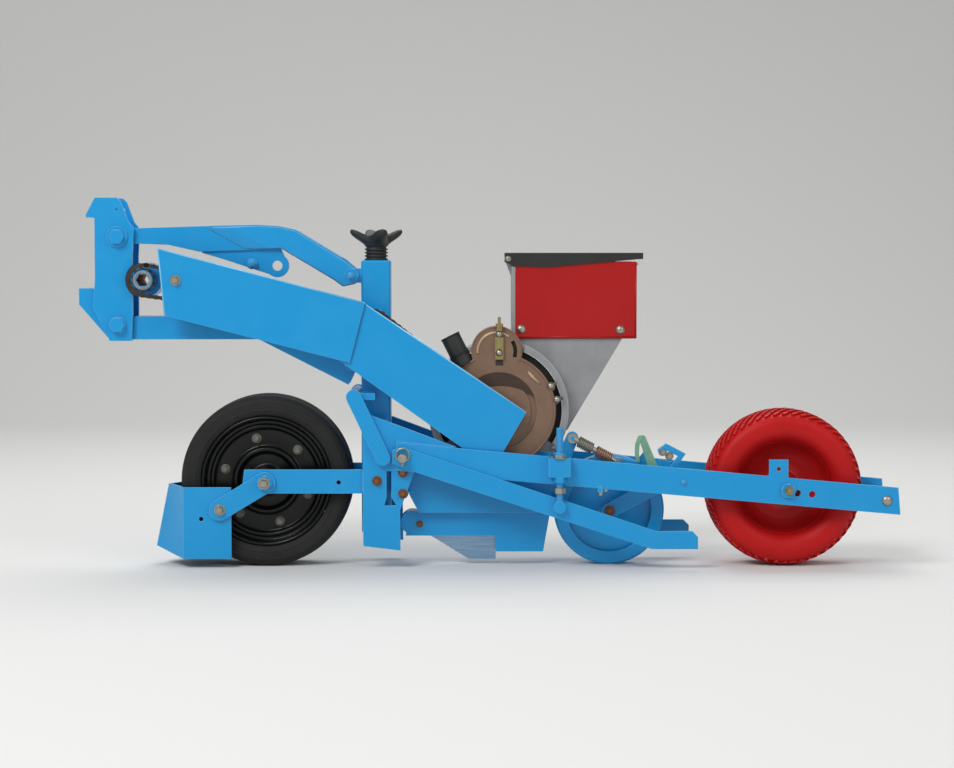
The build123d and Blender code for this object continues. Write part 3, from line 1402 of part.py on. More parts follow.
# Lever for the press wheel's pressure: a strap on the fork's plate with its pin
lever_foot_shift = (30.0, 14.0)
lever_top_shift = (52.0, 74.0)
lever_foot_radius = 9.0
lever_top_radius = 6.0
lever_pin_radius = 5.0
lever_foot = (fork_pivot[0] - lever_foot_shift[0], fork_pivot[1] + lever_foot_shift[1])
lever_top = (fork_pivot[0] - lever_top_shift[0], fork_pivot[1] + lever_top_shift[1])
with BuildPart() as press_lever:
    with BuildSketch(Plane.XZ.offset(spring_plate_inside + side_plate)):
        with Locations(lever_foot):
            Circle(lever_pin_radius)
    extrude(amount=side_plate)
    with BuildSketch(Plane.XZ.offset(spring_plate_inside + side_plate + sheet)):
        loop_face(lever_foot, lever_foot_radius, lever_top, lever_top_radius)
    extrude(amount=2 * sheet)
press_lever.part.label = "press_lever"
export_step(press_lever.part, "parts/press_lever.step")

# Rear tyre and its dished rim; the tyre's half section as shares of its width and height
rear_tyre_height = 58.0
rear_band_share = 0.30
tyre_shares = [(0.44, 0.217), (0.50, 0.559), (0.46, 0.776), (0.34, 0.94), (0.15, 1.0)]
rear_rim_radius = rear_wheel_radius - rear_tyre_height
tyre_section = [(-rear_tyre_width * rear_band_share, rear_rim_radius + seat_gap)] + [
    (-rear_tyre_width * u, rear_rim_radius + rear_tyre_height * v) for u, v in tyre_shares
]
with BuildPart() as rear_tyre:
    with BuildSketch(wheel_plane(rear_wheel_x, rear_wheel_radius)):
        polygon(mirrored(tyre_section))
    revolve(axis=wheel_axis(rear_wheel_x, rear_wheel_radius))
rear_tyre.part.label = "rear_tyre"
export_step(rear_tyre.part, "parts/rear_tyre.step")

rear_hub_gap = 6.0
rear_hub_half_length = rail_inside - rear_hub_gap
with BuildPart() as rear_rim:
    with BuildSketch(wheel_plane(rear_wheel_x, rear_wheel_radius)):
        polygon(mirrored([
            (-rear_tyre_width * rear_band_share, rear_rim_radius - rim_wall),
            (-rear_tyre_width * rear_band_share, rear_rim_radius),
        ]))
        polygon(mirrored([
            (-rim_wall, front_hub_radius - rim_wall),
            (-rim_wall, rear_rim_radius - rim_wall / 2),
        ]))
        polygon(mirrored([
            (-rear_hub_half_length, bore_radius),
            (-rear_hub_half_length, front_hub_radius),
        ]))
    revolve(axis=wheel_axis(rear_wheel_x, rear_wheel_radius))
rear_rim.part.label = "rear_rim"
export_step(rear_rim.part, "parts/rear_rim.step")

# Rear axle in both rails
with BuildPart() as rear_axle:
    pivot_pin(rear_wheel_centre, rail_inside + plate, boss_radius, washer_thickness)
rear_axle.part.label = "rear_axle"
export_step(rear_axle.part, "parts/rear_axle.step")
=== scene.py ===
from math import asin, atan2, cos, pi, radians, sin

import bmesh
import bpy
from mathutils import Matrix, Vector


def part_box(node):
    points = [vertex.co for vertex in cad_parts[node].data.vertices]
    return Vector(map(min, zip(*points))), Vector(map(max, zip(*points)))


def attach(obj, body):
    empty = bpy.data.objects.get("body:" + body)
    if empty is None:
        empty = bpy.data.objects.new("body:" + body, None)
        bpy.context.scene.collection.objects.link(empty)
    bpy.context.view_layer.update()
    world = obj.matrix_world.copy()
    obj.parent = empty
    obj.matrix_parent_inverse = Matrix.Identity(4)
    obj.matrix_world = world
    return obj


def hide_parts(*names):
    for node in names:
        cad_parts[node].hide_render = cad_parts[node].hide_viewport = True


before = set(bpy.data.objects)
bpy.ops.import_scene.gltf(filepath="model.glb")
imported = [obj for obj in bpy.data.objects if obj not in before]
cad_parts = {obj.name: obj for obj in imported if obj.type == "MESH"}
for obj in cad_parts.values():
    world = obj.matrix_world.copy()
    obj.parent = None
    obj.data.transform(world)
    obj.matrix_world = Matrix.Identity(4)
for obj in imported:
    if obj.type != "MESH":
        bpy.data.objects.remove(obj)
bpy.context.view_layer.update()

# Studio: one pale sheet, laid flat and rolled up behind the machine, under three soft lamps, with
# the camera at the photo's angle, four metres off the drive side and tipped a little down.
camera_place = (-0.020, -4.0, 0.566)
camera_pitch = 3.41
camera_lens = 83.1
sheet_front, sheet_fold, sheet_roll, sheet_height, sheet_half = -7.0, 3.2, 1.8, 7.0, 10.0
sheet_colour = "E4E4E2"
lamps = [
    # place, size, watts
    ((-2.2, -3.2, 3.6), 2.2, 126.0),
    ((2.6, -2.8, 2.4), 2.4, 28.0),
    ((0.2, 1.6, 3.4), 3.0, 60.0),
]
lamp_target = Vector((0.0, 0.0, 0.30))
sky_strength = 0.38


def linear(code):
    """Turns a colour written as sRGB hex into the linear values that a shader takes."""
    parts = [int(code[i:i + 2], 16) / 255 for i in (0, 2, 4)]
    return [c / 12.92 if c <= 0.04045 else ((c + 0.055) / 1.055) ** 2.4 for c in parts] + [1.0]


def add(tree, kind, feeds=None, **settings):
    """Adds a node to a tree; feeds gives its inputs a value or another node's output."""
    node = tree.nodes.new(kind)
    for name, value in settings.items():
        setattr(node, name, value)
    for socket, value in (feeds or {}).items():
        if isinstance(value, bpy.types.NodeSocket):
            tree.links.new(value, node.inputs[socket])
        else:
            node.inputs[socket].default_value = value
    return node


def put(name, data):
    """Adds an object to the scene."""
    item = bpy.data.objects.new(name, data)
    bpy.context.scene.collection.objects.link(item)
    return item


def shader(name, sockets):
    """Starts a material with one Principled shader; returns it with its tree and the shader."""
    material = bpy.data.materials.new(name)
    material.use_nodes = True
    tree = material.node_tree
    tree.nodes.clear()
    surface = add(tree, "ShaderNodeBsdfPrincipled", sockets)
    add(tree, "ShaderNodeOutputMaterial", {"Surface": surface.outputs["BSDF"]})
    return material, tree, surface


camera = put("camera", bpy.data.cameras.new("camera"))
camera.data.lens = camera_lens
camera.data.sensor_width = 36.0
camera.location = camera_place
camera.rotation_euler = (radians(90 - camera_pitch), 0, 0)
bpy.context.scene.camera = camera

sheet_line = [(sheet_front, 0.0), (sheet_fold, 0.0)]
sheet_line += [
    (sheet_fold + sheet_roll * sin(radians(turn)), sheet_roll * (1 - cos(radians(turn))))
    for turn in range(6, 91, 6)
]
sheet_line.append((sheet_fold + sheet_roll, sheet_height))
sheet_mesh = bpy.data.meshes.new("paper_sheet")
sheet_mesh.from_pydata(
    [(side * sheet_half, y, z) for y, z in sheet_line for side in (-1, 1)],
    [],
    [(2 * i, 2 * i + 1, 2 * i + 3, 2 * i + 2) for i in range(len(sheet_line) - 1)],
)
sheet_mesh.polygons.foreach_set("use_smooth", [True] * len(sheet_mesh.polygons))
put("paper_sheet", sheet_mesh)

# Backdrop paper: matt and off-white.
paper = shader("matt_backdrop_paper", {
    "Base Color": linear(sheet_colour), "Roughness": 0.9, "Specular IOR Level": 0.2})[0]
sheet_mesh.materials.append(paper)

for number, (place, size, watts) in enumerate(lamps):
    lamp = put(f"softbox_{number}", bpy.data.lights.new(f"softbox_{number}", "AREA"))
    lamp.data.shape = "DISK"
    lamp.data.size = size
    lamp.data.energy = watts
    lamp.location = place
    lamp.rotation_euler = (lamp_target - Vector(place)).to_track_quat("-Z", "Y").to_euler()

room = bpy.data.worlds.new("white_room")
room.use_nodes = True
room.node_tree.nodes["Background"].inputs["Color"].default_value = linear("FFFFFF")
room.node_tree.nodes["Background"].inputs["Strength"].default_value = sky_strength
bpy.context.scene.world = room
bpy.context.scene.view_settings.view_transform = "Standard"

# Headstock: two 8 mm steel plates that hook over the toolbar, with the clamp jaw and the bearing
# carrier welded between them, all sprayed with one coat of sky-blue machine enamel.
# The edge colour is partly edge wear and partly a painted highlight along the edges.
enamel_colour, enamel_dust_colour, enamel_edge_wear_and_highlight_colour = "0C96D6", "3FA6DC", "8AD0F4"
enamel_dust_size, enamel_peel_size = 0.060, 0.0035
edge_round = 0.0016


def mottled(name, sockets, low_tint, high_tint, scale, detail):
    """Starts a material that drifts between two tints; returns it with what finer nodes link to."""
    material, tree, surface = shader(name, sockets)
    place = add(tree, "ShaderNodeTexCoord").outputs["Object"]
    cloud = add(tree, "ShaderNodeTexNoise", {"Vector": place, "Scale": scale, "Detail": detail})
    tint = add(tree, "ShaderNodeMix", {
        "Factor": cloud.outputs["Fac"], 6: linear(low_tint), 7: linear(high_tint)}, data_type="RGBA")
    tree.links.new(tint.outputs[2], surface.inputs["Base Color"])
    return material, tree, surface, place, cloud.outputs["Fac"]


def edge_wear_and_highlight(tree, surface, edge_wear_and_highlight_tint, reach, most):
    """Lets a paler tint show along a material's edges, part edge wear and part painted highlight;
    returns its rounded normal.
    """
    base = surface.inputs["Base Color"].links[0].from_socket
    rounded = add(tree, "ShaderNodeBevel", {"Radius": reach}, samples=6).outputs["Normal"]
    flat = add(tree, "ShaderNodeNewGeometry").outputs["Normal"]
    turned = add(tree, "ShaderNodeVectorMath", {0: rounded, 1: flat}, operation="DOT_PRODUCT")
    share = add(tree, "ShaderNodeMapRange", {
        "Value": turned.outputs["Value"], "From Min": 0.995, "From Max": 0.85, "To Max": most})
    worn_and_highlit = add(tree, "ShaderNodeMix", {
        "Factor": share.outputs["Result"], 6: base, 7: linear(edge_wear_and_highlight_tint)}, data_type="RGBA")
    tree.links.new(worn_and_highlit.outputs[2], surface.inputs["Base Color"])
    return rounded


def grained(tree, surface, place, scale, detail, strength, depth, normal=None):
    """Gives a surface a fine bump, laid over another normal if there is one."""
    grain = add(tree, "ShaderNodeTexNoise", {"Vector": place, "Scale": scale, "Detail": detail})
    bump = add(tree, "ShaderNodeBump", {
        "Height": grain.outputs["Fac"], "Strength": strength, "Distance": depth})
    if normal is not None:
        tree.links.new(normal, bump.inputs["Normal"])
    tree.links.new(bump.outputs["Normal"], surface.inputs["Normal"])


def dress(material, *names):
    """Gives CAD nodes a finish through their objects' own material slots."""
    for name in names:
        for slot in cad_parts[name].material_slots:
            slot.link = "OBJECT"
            slot.material = material


# Alkyd enamel sprayed on steel: slight orange peel, edges a little lighter from wear and from a painted
# highlight, thin field dust.
enamel, tree, surface = shader("alkyd_enamel_sky_blue", {
    "Roughness": 0.36, "Specular IOR Level": 0.34, "Coat Weight": 0.14, "Coat Roughness": 0.12})
place = add(tree, "ShaderNodeTexCoord").outputs["Object"]
dust = add(tree, "ShaderNodeTexNoise", {
    "Vector": place, "Scale": 1 / enamel_dust_size, "Detail": 5.0, "Roughness": 0.62})
dust_share = add(tree, "ShaderNodeMapRange", {
    "Value": dust.outputs["Fac"], "From Min": 0.45, "From Max": 0.8, "To Max": 0.2})
dusty = add(tree, "ShaderNodeMix", {
    "Factor": dust_share.outputs["Result"], 6: linear(enamel_colour),
    7: linear(enamel_dust_colour)}, data_type="RGBA")
tree.links.new(dusty.outputs[2], surface.inputs["Base Color"])
rounded = edge_wear_and_highlight(tree, surface, enamel_edge_wear_and_highlight_colour, edge_round, 0.75)
grained(tree, surface, place, 1 / enamel_peel_size, 1.0, 0.06, 0.0004, rounded)
dress(enamel, "clamp_jaw", "bearing_carrier", "drive_hub", "front_pins", "upper_link", "latch_hook",
      "lower_link", "column", "clod_deflector", "rear_guard", "front_guard", "chain_arm",
      "plate_spacers", "shoe", "tail_tube", "press_fork", "press_wheel", "rear_pins", "front_axle",
      "rear_axle")
for part in ("headstock", "side_plate", "brace", "front_arm", "strap", "body_plate", "rail",
             "covering_arm", "adjuster"):
    dress(enamel, part + "_near", part + "_far")

# The same enamel over a rounded fold, paler as a painted highlight for the light the fold catches, and
# glossier.
fold_highlight_enamel = mottled("alkyd_enamel_fold_painted_highlight", {
    "Roughness": 0.24, "Specular IOR Level": 0.5, "Coat Weight": 0.4, "Coat Roughness": 0.08},
    "3FAEE6", "A9DCF6", 25.0, 5.0)[0]

# Bolts: zinc-plated hexagon bolts and nuts, each forged with a chamfered head and sitting on a
# stamped washer. They hold every piece that comes off the machine, so their tree stands first.
def tree_of(name, *sizes):
    """Starts a Geometry Nodes tree; returns it with its inputs: places, sizes and a material."""
    tree = bpy.data.node_groups.new(name, "GeometryNodeTree")
    tree.interface.new_socket("Places", in_out="INPUT", socket_type="NodeSocketGeometry")
    for size in sizes:
        tree.interface.new_socket(size, in_out="INPUT", socket_type="NodeSocketFloat")
    tree.interface.new_socket("Finish", in_out="INPUT", socket_type="NodeSocketMaterial")
    tree.interface.new_socket("Result", in_out="OUTPUT", socket_type="NodeSocketGeometry")
    return tree, add(tree, "NodeGroupInput").outputs


def end_tree(tree, size, item, smooth=False):
    """Ends a tree: an item, made upright, is copied to every place and faces as the place says."""
    facing = add(tree, "GeometryNodeInputNamedAttribute", {"Name": "facing"}, data_type="FLOAT_VECTOR")
    turn = add(tree, "GeometryNodeInputNamedAttribute", {"Name": "turn"}, data_type="FLOAT")
    aimed = add(tree, "FunctionNodeAlignRotationToVector", {"Vector": facing.outputs[0]}, axis="Z")
    spun = add(tree, "FunctionNodeAxisAngleToRotation", {"Axis": (0, 0, 1), "Angle": turn.outputs[0]})
    both = add(tree, "FunctionNodeRotateRotation", {
        "Rotation": aimed.outputs["Rotation"], "Rotate By": spun.outputs["Rotation"]},
        rotation_space="LOCAL")
    copies = add(tree, "GeometryNodeInstanceOnPoints", {
        "Points": size["Places"], "Instance": item.outputs[0], "Rotation": both.outputs["Rotation"]})
    real = add(tree, "GeometryNodeRealizeInstances", {"Geometry": copies.outputs["Instances"]})
    shaded = add(tree, "GeometryNodeSetShadeSmooth", {
        "Geometry": real.outputs["Geometry"], "Shade Smooth": smooth})
    coated = add(tree, "GeometryNodeSetMaterial", {
        "Geometry": shaded.outputs["Geometry"], "Material": size["Finish"]})
    add(tree, "NodeGroupOutput", {"Result": coated.outputs["Geometry"]})


def sums(tree, operation, first, second):
    """Works out one number from two in a Geometry Nodes tree."""
    return add(tree, "ShaderNodeMath", {0: first, 1: second}, operation=operation).outputs[0]


def upright(tree, x, y, z):
    """Joins three numbers to one place."""
    return add(tree, "ShaderNodeCombineXYZ", {"X": x, "Y": y, "Z": z}).outputs["Vector"]


def places_of(rows):
    """A mesh of loose points from (place, facing, turn) rows, for a tree to put copies on."""
    mesh = bpy.data.meshes.new("places")
    mesh.from_pydata([place for place, facing, turn in rows], [], [])
    facings = mesh.attributes.new("facing", "FLOAT_VECTOR", "POINT")
    facings.data.foreach_set("vector", [v for place, facing, turn in rows for v in facing])
    turns = mesh.attributes.new("turn", "FLOAT", "POINT")
    turns.data.foreach_set("value", [turn for place, facing, turn in rows])
    return mesh


def grown(name, tree, rows, sizes, material, body):
    """Runs a tree on places and keeps what grows there as one plain mesh on a body."""
    start = put(name, places_of(rows))
    modifier = start.modifiers.new("grow", "NODES")
    modifier.node_group = tree
    for socket in tree.interface.items_tree:
        if socket.name in sizes:
            modifier[socket.identifier] = float(sizes[socket.name])
        if socket.name == "Finish":
            modifier[socket.identifier] = material
    bpy.context.view_layer.update()
    evaluated = start.evaluated_get(bpy.context.evaluated_depsgraph_get())
    mesh = bpy.data.meshes.new_from_object(evaluated)
    bpy.data.objects.remove(start)
    return kept(name, mesh, body)


def kept(name, mesh, body):
    """Puts a finished mesh on the machine: it rides on a body."""
    mesh.name = name
    piece = put(name, mesh)
    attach(piece, body)
    return piece


def drum(tree, corners, low_radius, high_radius, low, height):
    """Upright round or many-sided block from one level up to another."""
    block = add(tree, "GeometryNodeMeshCone", {
        "Vertices": corners, "Radius Bottom": low_radius, "Radius Top": high_radius, "Depth": height})
    return add(tree, "GeometryNodeTransform", {
        "Geometry": block.outputs["Mesh"],
        "Translation": upright(tree, 0.0, 0.0, low)}).outputs["Geometry"]


bolts, size = tree_of("hexagon_bolts", "Across", "Head", "Washer", "Washer thickness", "Stud")
corner_radius = sums(bolts, "DIVIDE", size["Across"], 2 * sin(radians(60)))
chamfer = sums(bolts, "MULTIPLY", size["Head"], 0.2)
flank = sums(bolts, "SUBTRACT", size["Head"], chamfer)
flank_top = sums(bolts, "ADD", size["Washer thickness"], flank)
head_top = sums(bolts, "ADD", flank_top, chamfer)
crown_radius = sums(bolts, "MULTIPLY", corner_radius, 0.86)
washer_rim = sums(bolts, "MULTIPLY", size["Washer"], 0.95)
washer_flat = sums(bolts, "MULTIPLY", size["Washer thickness"], 0.75)
washer_bevel = sums(bolts, "SUBTRACT", size["Washer thickness"], washer_flat)
stud_radius = sums(bolts, "MULTIPLY", size["Across"], 0.29)
blocks = add(bolts, "GeometryNodeJoinGeometry")
for corners, low_radius, high_radius, low, height in (
        (24, size["Washer"], size["Washer"], 0.0, washer_flat),
        (24, size["Washer"], washer_rim, washer_flat, washer_bevel),
        (6, corner_radius, corner_radius, size["Washer thickness"], flank),
        (6, corner_radius, crown_radius, flank_top, chamfer),
        (16, stud_radius, stud_radius, head_top, size["Stud"])):
    block = drum(bolts, corners, low_radius, high_radius, low, height)
    bolts.links.new(block, blocks.inputs["Geometry"])
end_tree(bolts, size, blocks)

# Bright zinc plate on steel: pale, a little warm, mottled by weather.
zinc, tree, surface, place, mottle = mottled(
    "zinc_plated_steel", {"Metallic": 1.0, "Roughness": 0.38}, "8E8878", "C9C4B6", 90.0, 6.0)
zinc_rough = add(tree, "ShaderNodeMapRange", {"Value": mottle, "To Min": 0.28, "To Max": 0.5})
tree.links.new(zinc_rough.outputs["Result"], surface.inputs["Roughness"])
dress(zinc, "spring_rod", "arm_pin")
# Yellow-passivated zinc, as on the rear axle's bolts and the meter's latch.
yellow_zinc = mottled(
    "yellow_passivated_zinc", {"Metallic": 0.9, "Roughness": 0.42}, "7D7350", "C2B27A", 120.0, 4.0)[0]
# Dull zinc, its bright coat gone grey under field soil, as on the front wheel's bolts.
dull_zinc = mottled(
    "weathered_zinc_plate", {"Metallic": 0.6, "Roughness": 0.6}, "55574F", "8F9085", 160.0, 5.0)[0]
# Rust on a plain steel bolt: brown and coppery, pitted.
pit_scale, pit_detail = 220.0, 6.0
rusted, tree, surface, place, _ = mottled(
    "rusted_steel", {"Metallic": 0.45, "Roughness": 0.62}, "4A2A18", "A9734A", pit_scale, pit_detail)
grained(tree, surface, place, pit_scale, pit_detail, 0.5, 0.0006)

# Front wheel: a plain ribbed rubber tyre on a pressed two-step disc, stove-enamelled gloss black
# and bolted through six holes to its hub tube.
front_centre = (-0.400, 0.155)
front_tyre_near = [
    # radius, distance from the middle
    (0.1183, 0.0440), (0.1225, 0.0470), (0.1270, 0.0484), (0.1280, 0.0494), (0.1292, 0.0488),
    (0.1360, 0.0498), (0.1410, 0.0494), (0.1418, 0.0500), (0.1430, 0.0489), (0.1480, 0.0462),
    (0.1520, 0.0420), (0.1541, 0.0360), (0.1548, 0.0290), (0.1549, 0.0215), (0.1520, 0.0205),
    (0.1520, 0.0165), (0.1550, 0.0155), (0.1550, 0.0050), (0.1522, 0.0040), (0.1522, 0.0005),
]
front_rim_line = [
    (0.1180, -0.0440), (0.1145, -0.0468), (0.1110, -0.0440), (0.1098, -0.0360), (0.1085, -0.0310),
    (0.1028, -0.0300), (0.1008, -0.0334), (0.0960, -0.0334), (0.0936, -0.0290), (0.0905, -0.0268),
    (0.0640, -0.0268), (0.0606, -0.0300), (0.0586, -0.0336), (0.0532, -0.0336), (0.0510, -0.0300),
    (0.0476, -0.0268), (0.0300, -0.0268), (0.0262, -0.0300), (0.0250, -0.0560), (0.0230, -0.0570),
    (0.0082, -0.0570), (0.0082, 0.0570), (0.0230, 0.0570), (0.0250, 0.0560), (0.0250, -0.0230),
    (0.0480, -0.0230), (0.0520, -0.0262), (0.0540, -0.0300), (0.0580, -0.0300), (0.0604, -0.0262),
    (0.0640, -0.0232), (0.0910, -0.0232), (0.0948, -0.0256), (0.0966, -0.0298), (0.1002, -0.0298),
    (0.1022, -0.0266), (0.1090, -0.0262), (0.1108, -0.0200), (0.1108, 0.0380), (0.1118, 0.0440),
    (0.1145, 0.0468), (0.1180, 0.0440),
]
front_tyre_round, front_rim_round = 0.0012, 0.0015
rim_bolt_circle, rim_bolt_face = 0.078, -0.0268
rim_bolt_angles = (44.6, 104, 165, 230, 287, 341)
wheel_steps = 128


def round_of(x, z, radius, angles):
    """Points (x, z) on a circle in a plane along the row, at angles in degrees."""
    return [(x + radius * cos(radians(a)), z + radius * sin(radians(a))) for a in angles]


def soften(points, reach, steps):
    """Rounds each corner of a closed line by a curve that starts `reach` before it, or just
    short of the middle of a side that is shorter than twice that."""
    line = []
    for i, corner in enumerate(points):
        here, before = Vector(corner), Vector(points[i - 1])
        after = Vector(points[(i + 1) % len(points)])
        near = min(reach, (before - here).length / 2.01)
        far = min(reach, (after - here).length / 2.01)
        start = here + (before - here).normalized() * near
        end = here + (after - here).normalized() * far
        for step in range(steps + 1):
            share = step / steps
            line.append(tuple(
                start * (1 - share) ** 2 + here * 2 * share * (1 - share) + end * share ** 2))
    return line


def skin(work, rings, closed):
    """Joins rings of points by faces, each to the next, and the last to the first if closed."""
    for here, there in list(zip(rings, rings[1:])) + ([(rings[-1], rings[0])] if closed else []):
        for i in range(len(here)):
            j = (i + 1) % len(here)
            work.faces.new((here[i], here[j], there[j], there[i]))


def shaped(name, work, material, body, smooth):
    """Turns a mesh in work into a piece, with its material and its shading."""
    mesh = bpy.data.meshes.new(name)
    work.to_mesh(mesh)
    work.free()
    mesh.materials.append(material)
    mesh.polygons.foreach_set("use_smooth", [smooth] * len(mesh.polygons))
    return kept(name, mesh, body)


def lathe(name, profile, centre, steps, material, body, smooth=True):
    """Spins a closed profile of (radius, y) points about an axle that lies across the row."""
    work = bmesh.new()
    turns = [2 * pi * step / steps for step in range(steps)]
    skin(work, [[work.verts.new((centre[0] + r * cos(turn), y, centre[1] + r * sin(turn)))
                 for r, y in profile] for turn in turns], closed=True)
    bmesh.ops.recalc_face_normals(work, faces=work.faces)
    return shaped(name, work, material, body, smooth)


# Vulcanised black rubber: dull, with a dry grey bloom and soil in its texture.
rubber, tree, surface, place, _ = mottled("vulcanised_rubber_black", {
    "Roughness": 0.72, "Specular IOR Level": 0.35}, "101110", "272726", 28.0, 7.0)
grained(tree, surface, place, 600.0, 2.0, 0.25, 0.0005)

# Gloss black stove enamel: a deep, even coat with faint swirl marks.
black_enamel, tree, surface = shader("stove_enamel_gloss_black", {
    "Base Color": linear("090B0A"), "Specular IOR Level": 0.3})
swirl = add(tree, "ShaderNodeTexNoise", {
    "Vector": add(tree, "ShaderNodeTexCoord").outputs["Object"], "Scale": 40.0, "Detail": 3.0})
swirl_rough = add(tree, "ShaderNodeMapRange", {
    "Value": swirl.outputs["Fac"], "To Min": 0.2, "To Max": 0.4})
tree.links.new(swirl_rough.outputs["Result"], surface.inputs["Roughness"])

front_tyre_line = [(r, -y) for r, y in front_tyre_near] + front_tyre_near[::-1]
front_tyre_piece = lathe("front_tyre_rubber", soften(front_tyre_line, front_tyre_round, 2),
                         front_centre, wheel_steps, rubber, "front_wheel")
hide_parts("front_tyre")
front_rim_piece = lathe("front_rim_disc", soften(front_rim_line, front_rim_round, 2), front_centre,
                        wheel_steps, black_enamel, "front_wheel")
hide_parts("front_rim")
rim_bolt_places = round_of(*front_centre, rim_bolt_circle, rim_bolt_angles)
grown("front_rim_bolts", bolts, [
    ((x, rim_bolt_face, z), (0, -1, 0), radians(7 * angle))
    for (x, z), angle in zip(rim_bolt_places, rim_bolt_angles)], {
    "Across": 0.013, "Head": 0.006, "Washer": 0.0088, "Washer thickness": 0.0015, "Stud": 0.004},
    dull_zinc, "front_wheel")

# Rear wheel: a hollow red rubber tyre that packs the soil, moulded with short slanted lugs round
# its crown, on a dished disc pressed from sheet and painted the same red.
rear_centre = (0.536, 0.142)
rear_tyre_near = [
    (0.0843, 0.0352), (0.0880, 0.0424), (0.0940, 0.0484), (0.1020, 0.0526), (0.1110, 0.0542),
    (0.1200, 0.0534), (0.1270, 0.0504), (0.1320, 0.0444), (0.1358, 0.0336), (0.1378, 0.0170),
    (0.1384, 0.0005),
]
crown_from = 7
rear_tyre_round, rear_rim_round = 0.004, 0.003
rear_rim_line = [
    (0.0843, -0.0352), (0.0806, -0.0286), (0.0764, -0.0214), (0.0700, -0.0150), (0.0600, -0.0102),
    (0.0420, -0.0066), (0.0300, -0.0070), (0.0262, -0.0120), (0.0240, -0.0690), (0.0220, -0.0700),
    (0.0082, -0.0700), (0.0082, 0.0700), (0.0220, 0.0700), (0.0240, 0.0690), (0.0262, 0.0050),
    (0.0300, -0.0030), (0.0420, -0.0020), (0.0600, -0.0052), (0.0710, -0.0100), (0.0780, -0.0060),
    (0.0800, 0.0300), (0.0806, 0.0350), (0.0843, 0.0352),
]
lug_rows, lug_count = 8, 52
lug_length, lug_width, lug_rise, lug_lean = 0.0135, 0.0052, 0.0056, 40.0

# Red natural rubber: even and satin, paler where it is scuffed.
red_rubber, tree, surface, place, _ = mottled("natural_rubber_red", {
    "Roughness": 0.5, "Specular IOR Level": 0.24}, "B00A0A", "C41214", 22.0, 6.0)
grained(tree, surface, place, 500.0, 2.0, 0.15, 0.0004)

# Red enamel on sheet steel, as on the hopper and the rear disc: smooth, with fine dust.
red_enamel, tree, surface, place, _ = mottled("sprayed_enamel_signal_red", {
    "Roughness": 0.38, "Specular IOR Level": 0.3, "Coat Weight": 0.1, "Coat Roughness": 0.15},
    "A30A0C", "B21214", 14.0, 8.0)
red_round = add(tree, "ShaderNodeBevel", {"Radius": 0.0015}, samples=6)
tree.links.new(red_round.outputs["Normal"], surface.inputs["Normal"])
dress(red_enamel, "hopper")

rear_tyre_line = [(r, -y) for r, y in rear_tyre_near] + rear_tyre_near[::-1]
rear_tyre_piece = lathe("rear_tyre_rubber", soften(rear_tyre_line, rear_tyre_round, 3), rear_centre,
                        wheel_steps, red_rubber, "rear_wheel")
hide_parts("rear_tyre")
rear_rim_piece = lathe("rear_rim_disc", soften(rear_rim_line, rear_rim_round, 3), rear_centre,
                       wheel_steps, red_enamel, "rear_wheel")
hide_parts("rear_rim")

lugs, size = tree_of("tread_lugs", "Length", "Width", "Rise")
lug_block = add(lugs, "GeometryNodeMeshCube", {
    "Size": upright(lugs, size["Length"], size["Width"], size["Rise"])})
lug_lift = add(lugs, "GeometryNodeTransform", {
    "Geometry": lug_block.outputs["Mesh"],
    "Translation": upright(lugs, 0.0, 0.0, sums(lugs, "MULTIPLY", size["Rise"], 0.12))})
end_tree(lugs, size, lug_lift)
crown = [Vector(point) for point in rear_tyre_near[crown_from:]]
lug_places = []
for row in range(lug_rows):
    share = (row + 0.5) / (lug_rows / 2)
    side = -1 if share < 1 else 1
    reach = abs(share - 1) * (len(crown) - 1)
    step = min(int(len(crown) - 1 - reach), len(crown) - 2)
    radius, across = crown[step].lerp(crown[step + 1], len(crown) - 1 - reach - step)
    along = crown[step + 1] - crown[step]
    outward = Vector((abs(along[1]), along[0])).normalized()
    for index in range(lug_count):
        turn = 2 * pi * (index + (row % 2) / 2) / lug_count
        lug_places.append((
            (rear_centre[0] + radius * cos(turn), side * across, rear_centre[1] + radius * sin(turn)),
            (outward[0] * cos(turn), side * outward[1], outward[0] * sin(turn)), radians(lug_lean)))
grown("rear_tyre_lugs", lugs, lug_places, {
    "Length": lug_length, "Width": lug_width, "Rise": lug_rise}, red_rubber, "rear_wheel")

# Drive chains: half-inch roller chain, each link two stamped side plates riveted over a roller,
# one loop from the toolbar's hexagon shaft to the column and one from there to the seed meter.
drive_hub_axle, jack_axle, meter_axle = (-0.618, 0.517), (-0.1985, 0.447), (0.012, 0.270)
chain_pitch = 0.0127
link_end, link_waist, roller_radius, rivet_radius = 0.0041, 0.0029, 0.0038, 0.0017
plate_half, roller_half, inner_spread, outer_spread = 0.0005, 0.0018, 0.0019, 0.0030
chain_runs = [
    # name, body, start axle, start radius, end axle, end radius, nearest face, furthest face
    ("front_chain", "chain_guard", drive_hub_axle, 0.0274, jack_axle, 0.0139, -0.054, -0.046),
    ("rear_chain", "frame", jack_axle, 0.0139, meter_axle, 0.0220, -0.066, -0.058),
]


def chain_stations(start, start_radius, end, end_radius, pitch):
    """Places (x, z) of a chain's rivets, at whole pitches round its loop."""
    run = Vector(end) - Vector(start)
    heading = atan2(run[1], run[0])
    lean = asin((start_radius - end_radius) / run.length)
    straight = run.length * cos(lean)
    upper, lower = heading + pi / 2 - lean, heading - pi / 2 + lean
    first = straight + end_radius * (pi - 2 * lean)
    second = first + straight
    length = second + start_radius * (pi + 2 * lean)
    count = round(length / pitch)
    stations = []
    for number in range(count):
        place = number * length / count
        ahead, middle, radius = 0.0, end, end_radius
        if place < straight:
            way, ahead, middle, radius = upper, place, start, start_radius
        elif place < first:
            way = upper - (place - straight) / end_radius
        elif place < second:
            way, ahead = lower, place - first
        else:
            way, middle, radius = lower - (place - second) / start_radius, start, start_radius
        stations.append((
            middle[0] + radius * cos(way) + ahead * sin(way),
            middle[1] + radius * sin(way) - ahead * cos(way)))
    return stations


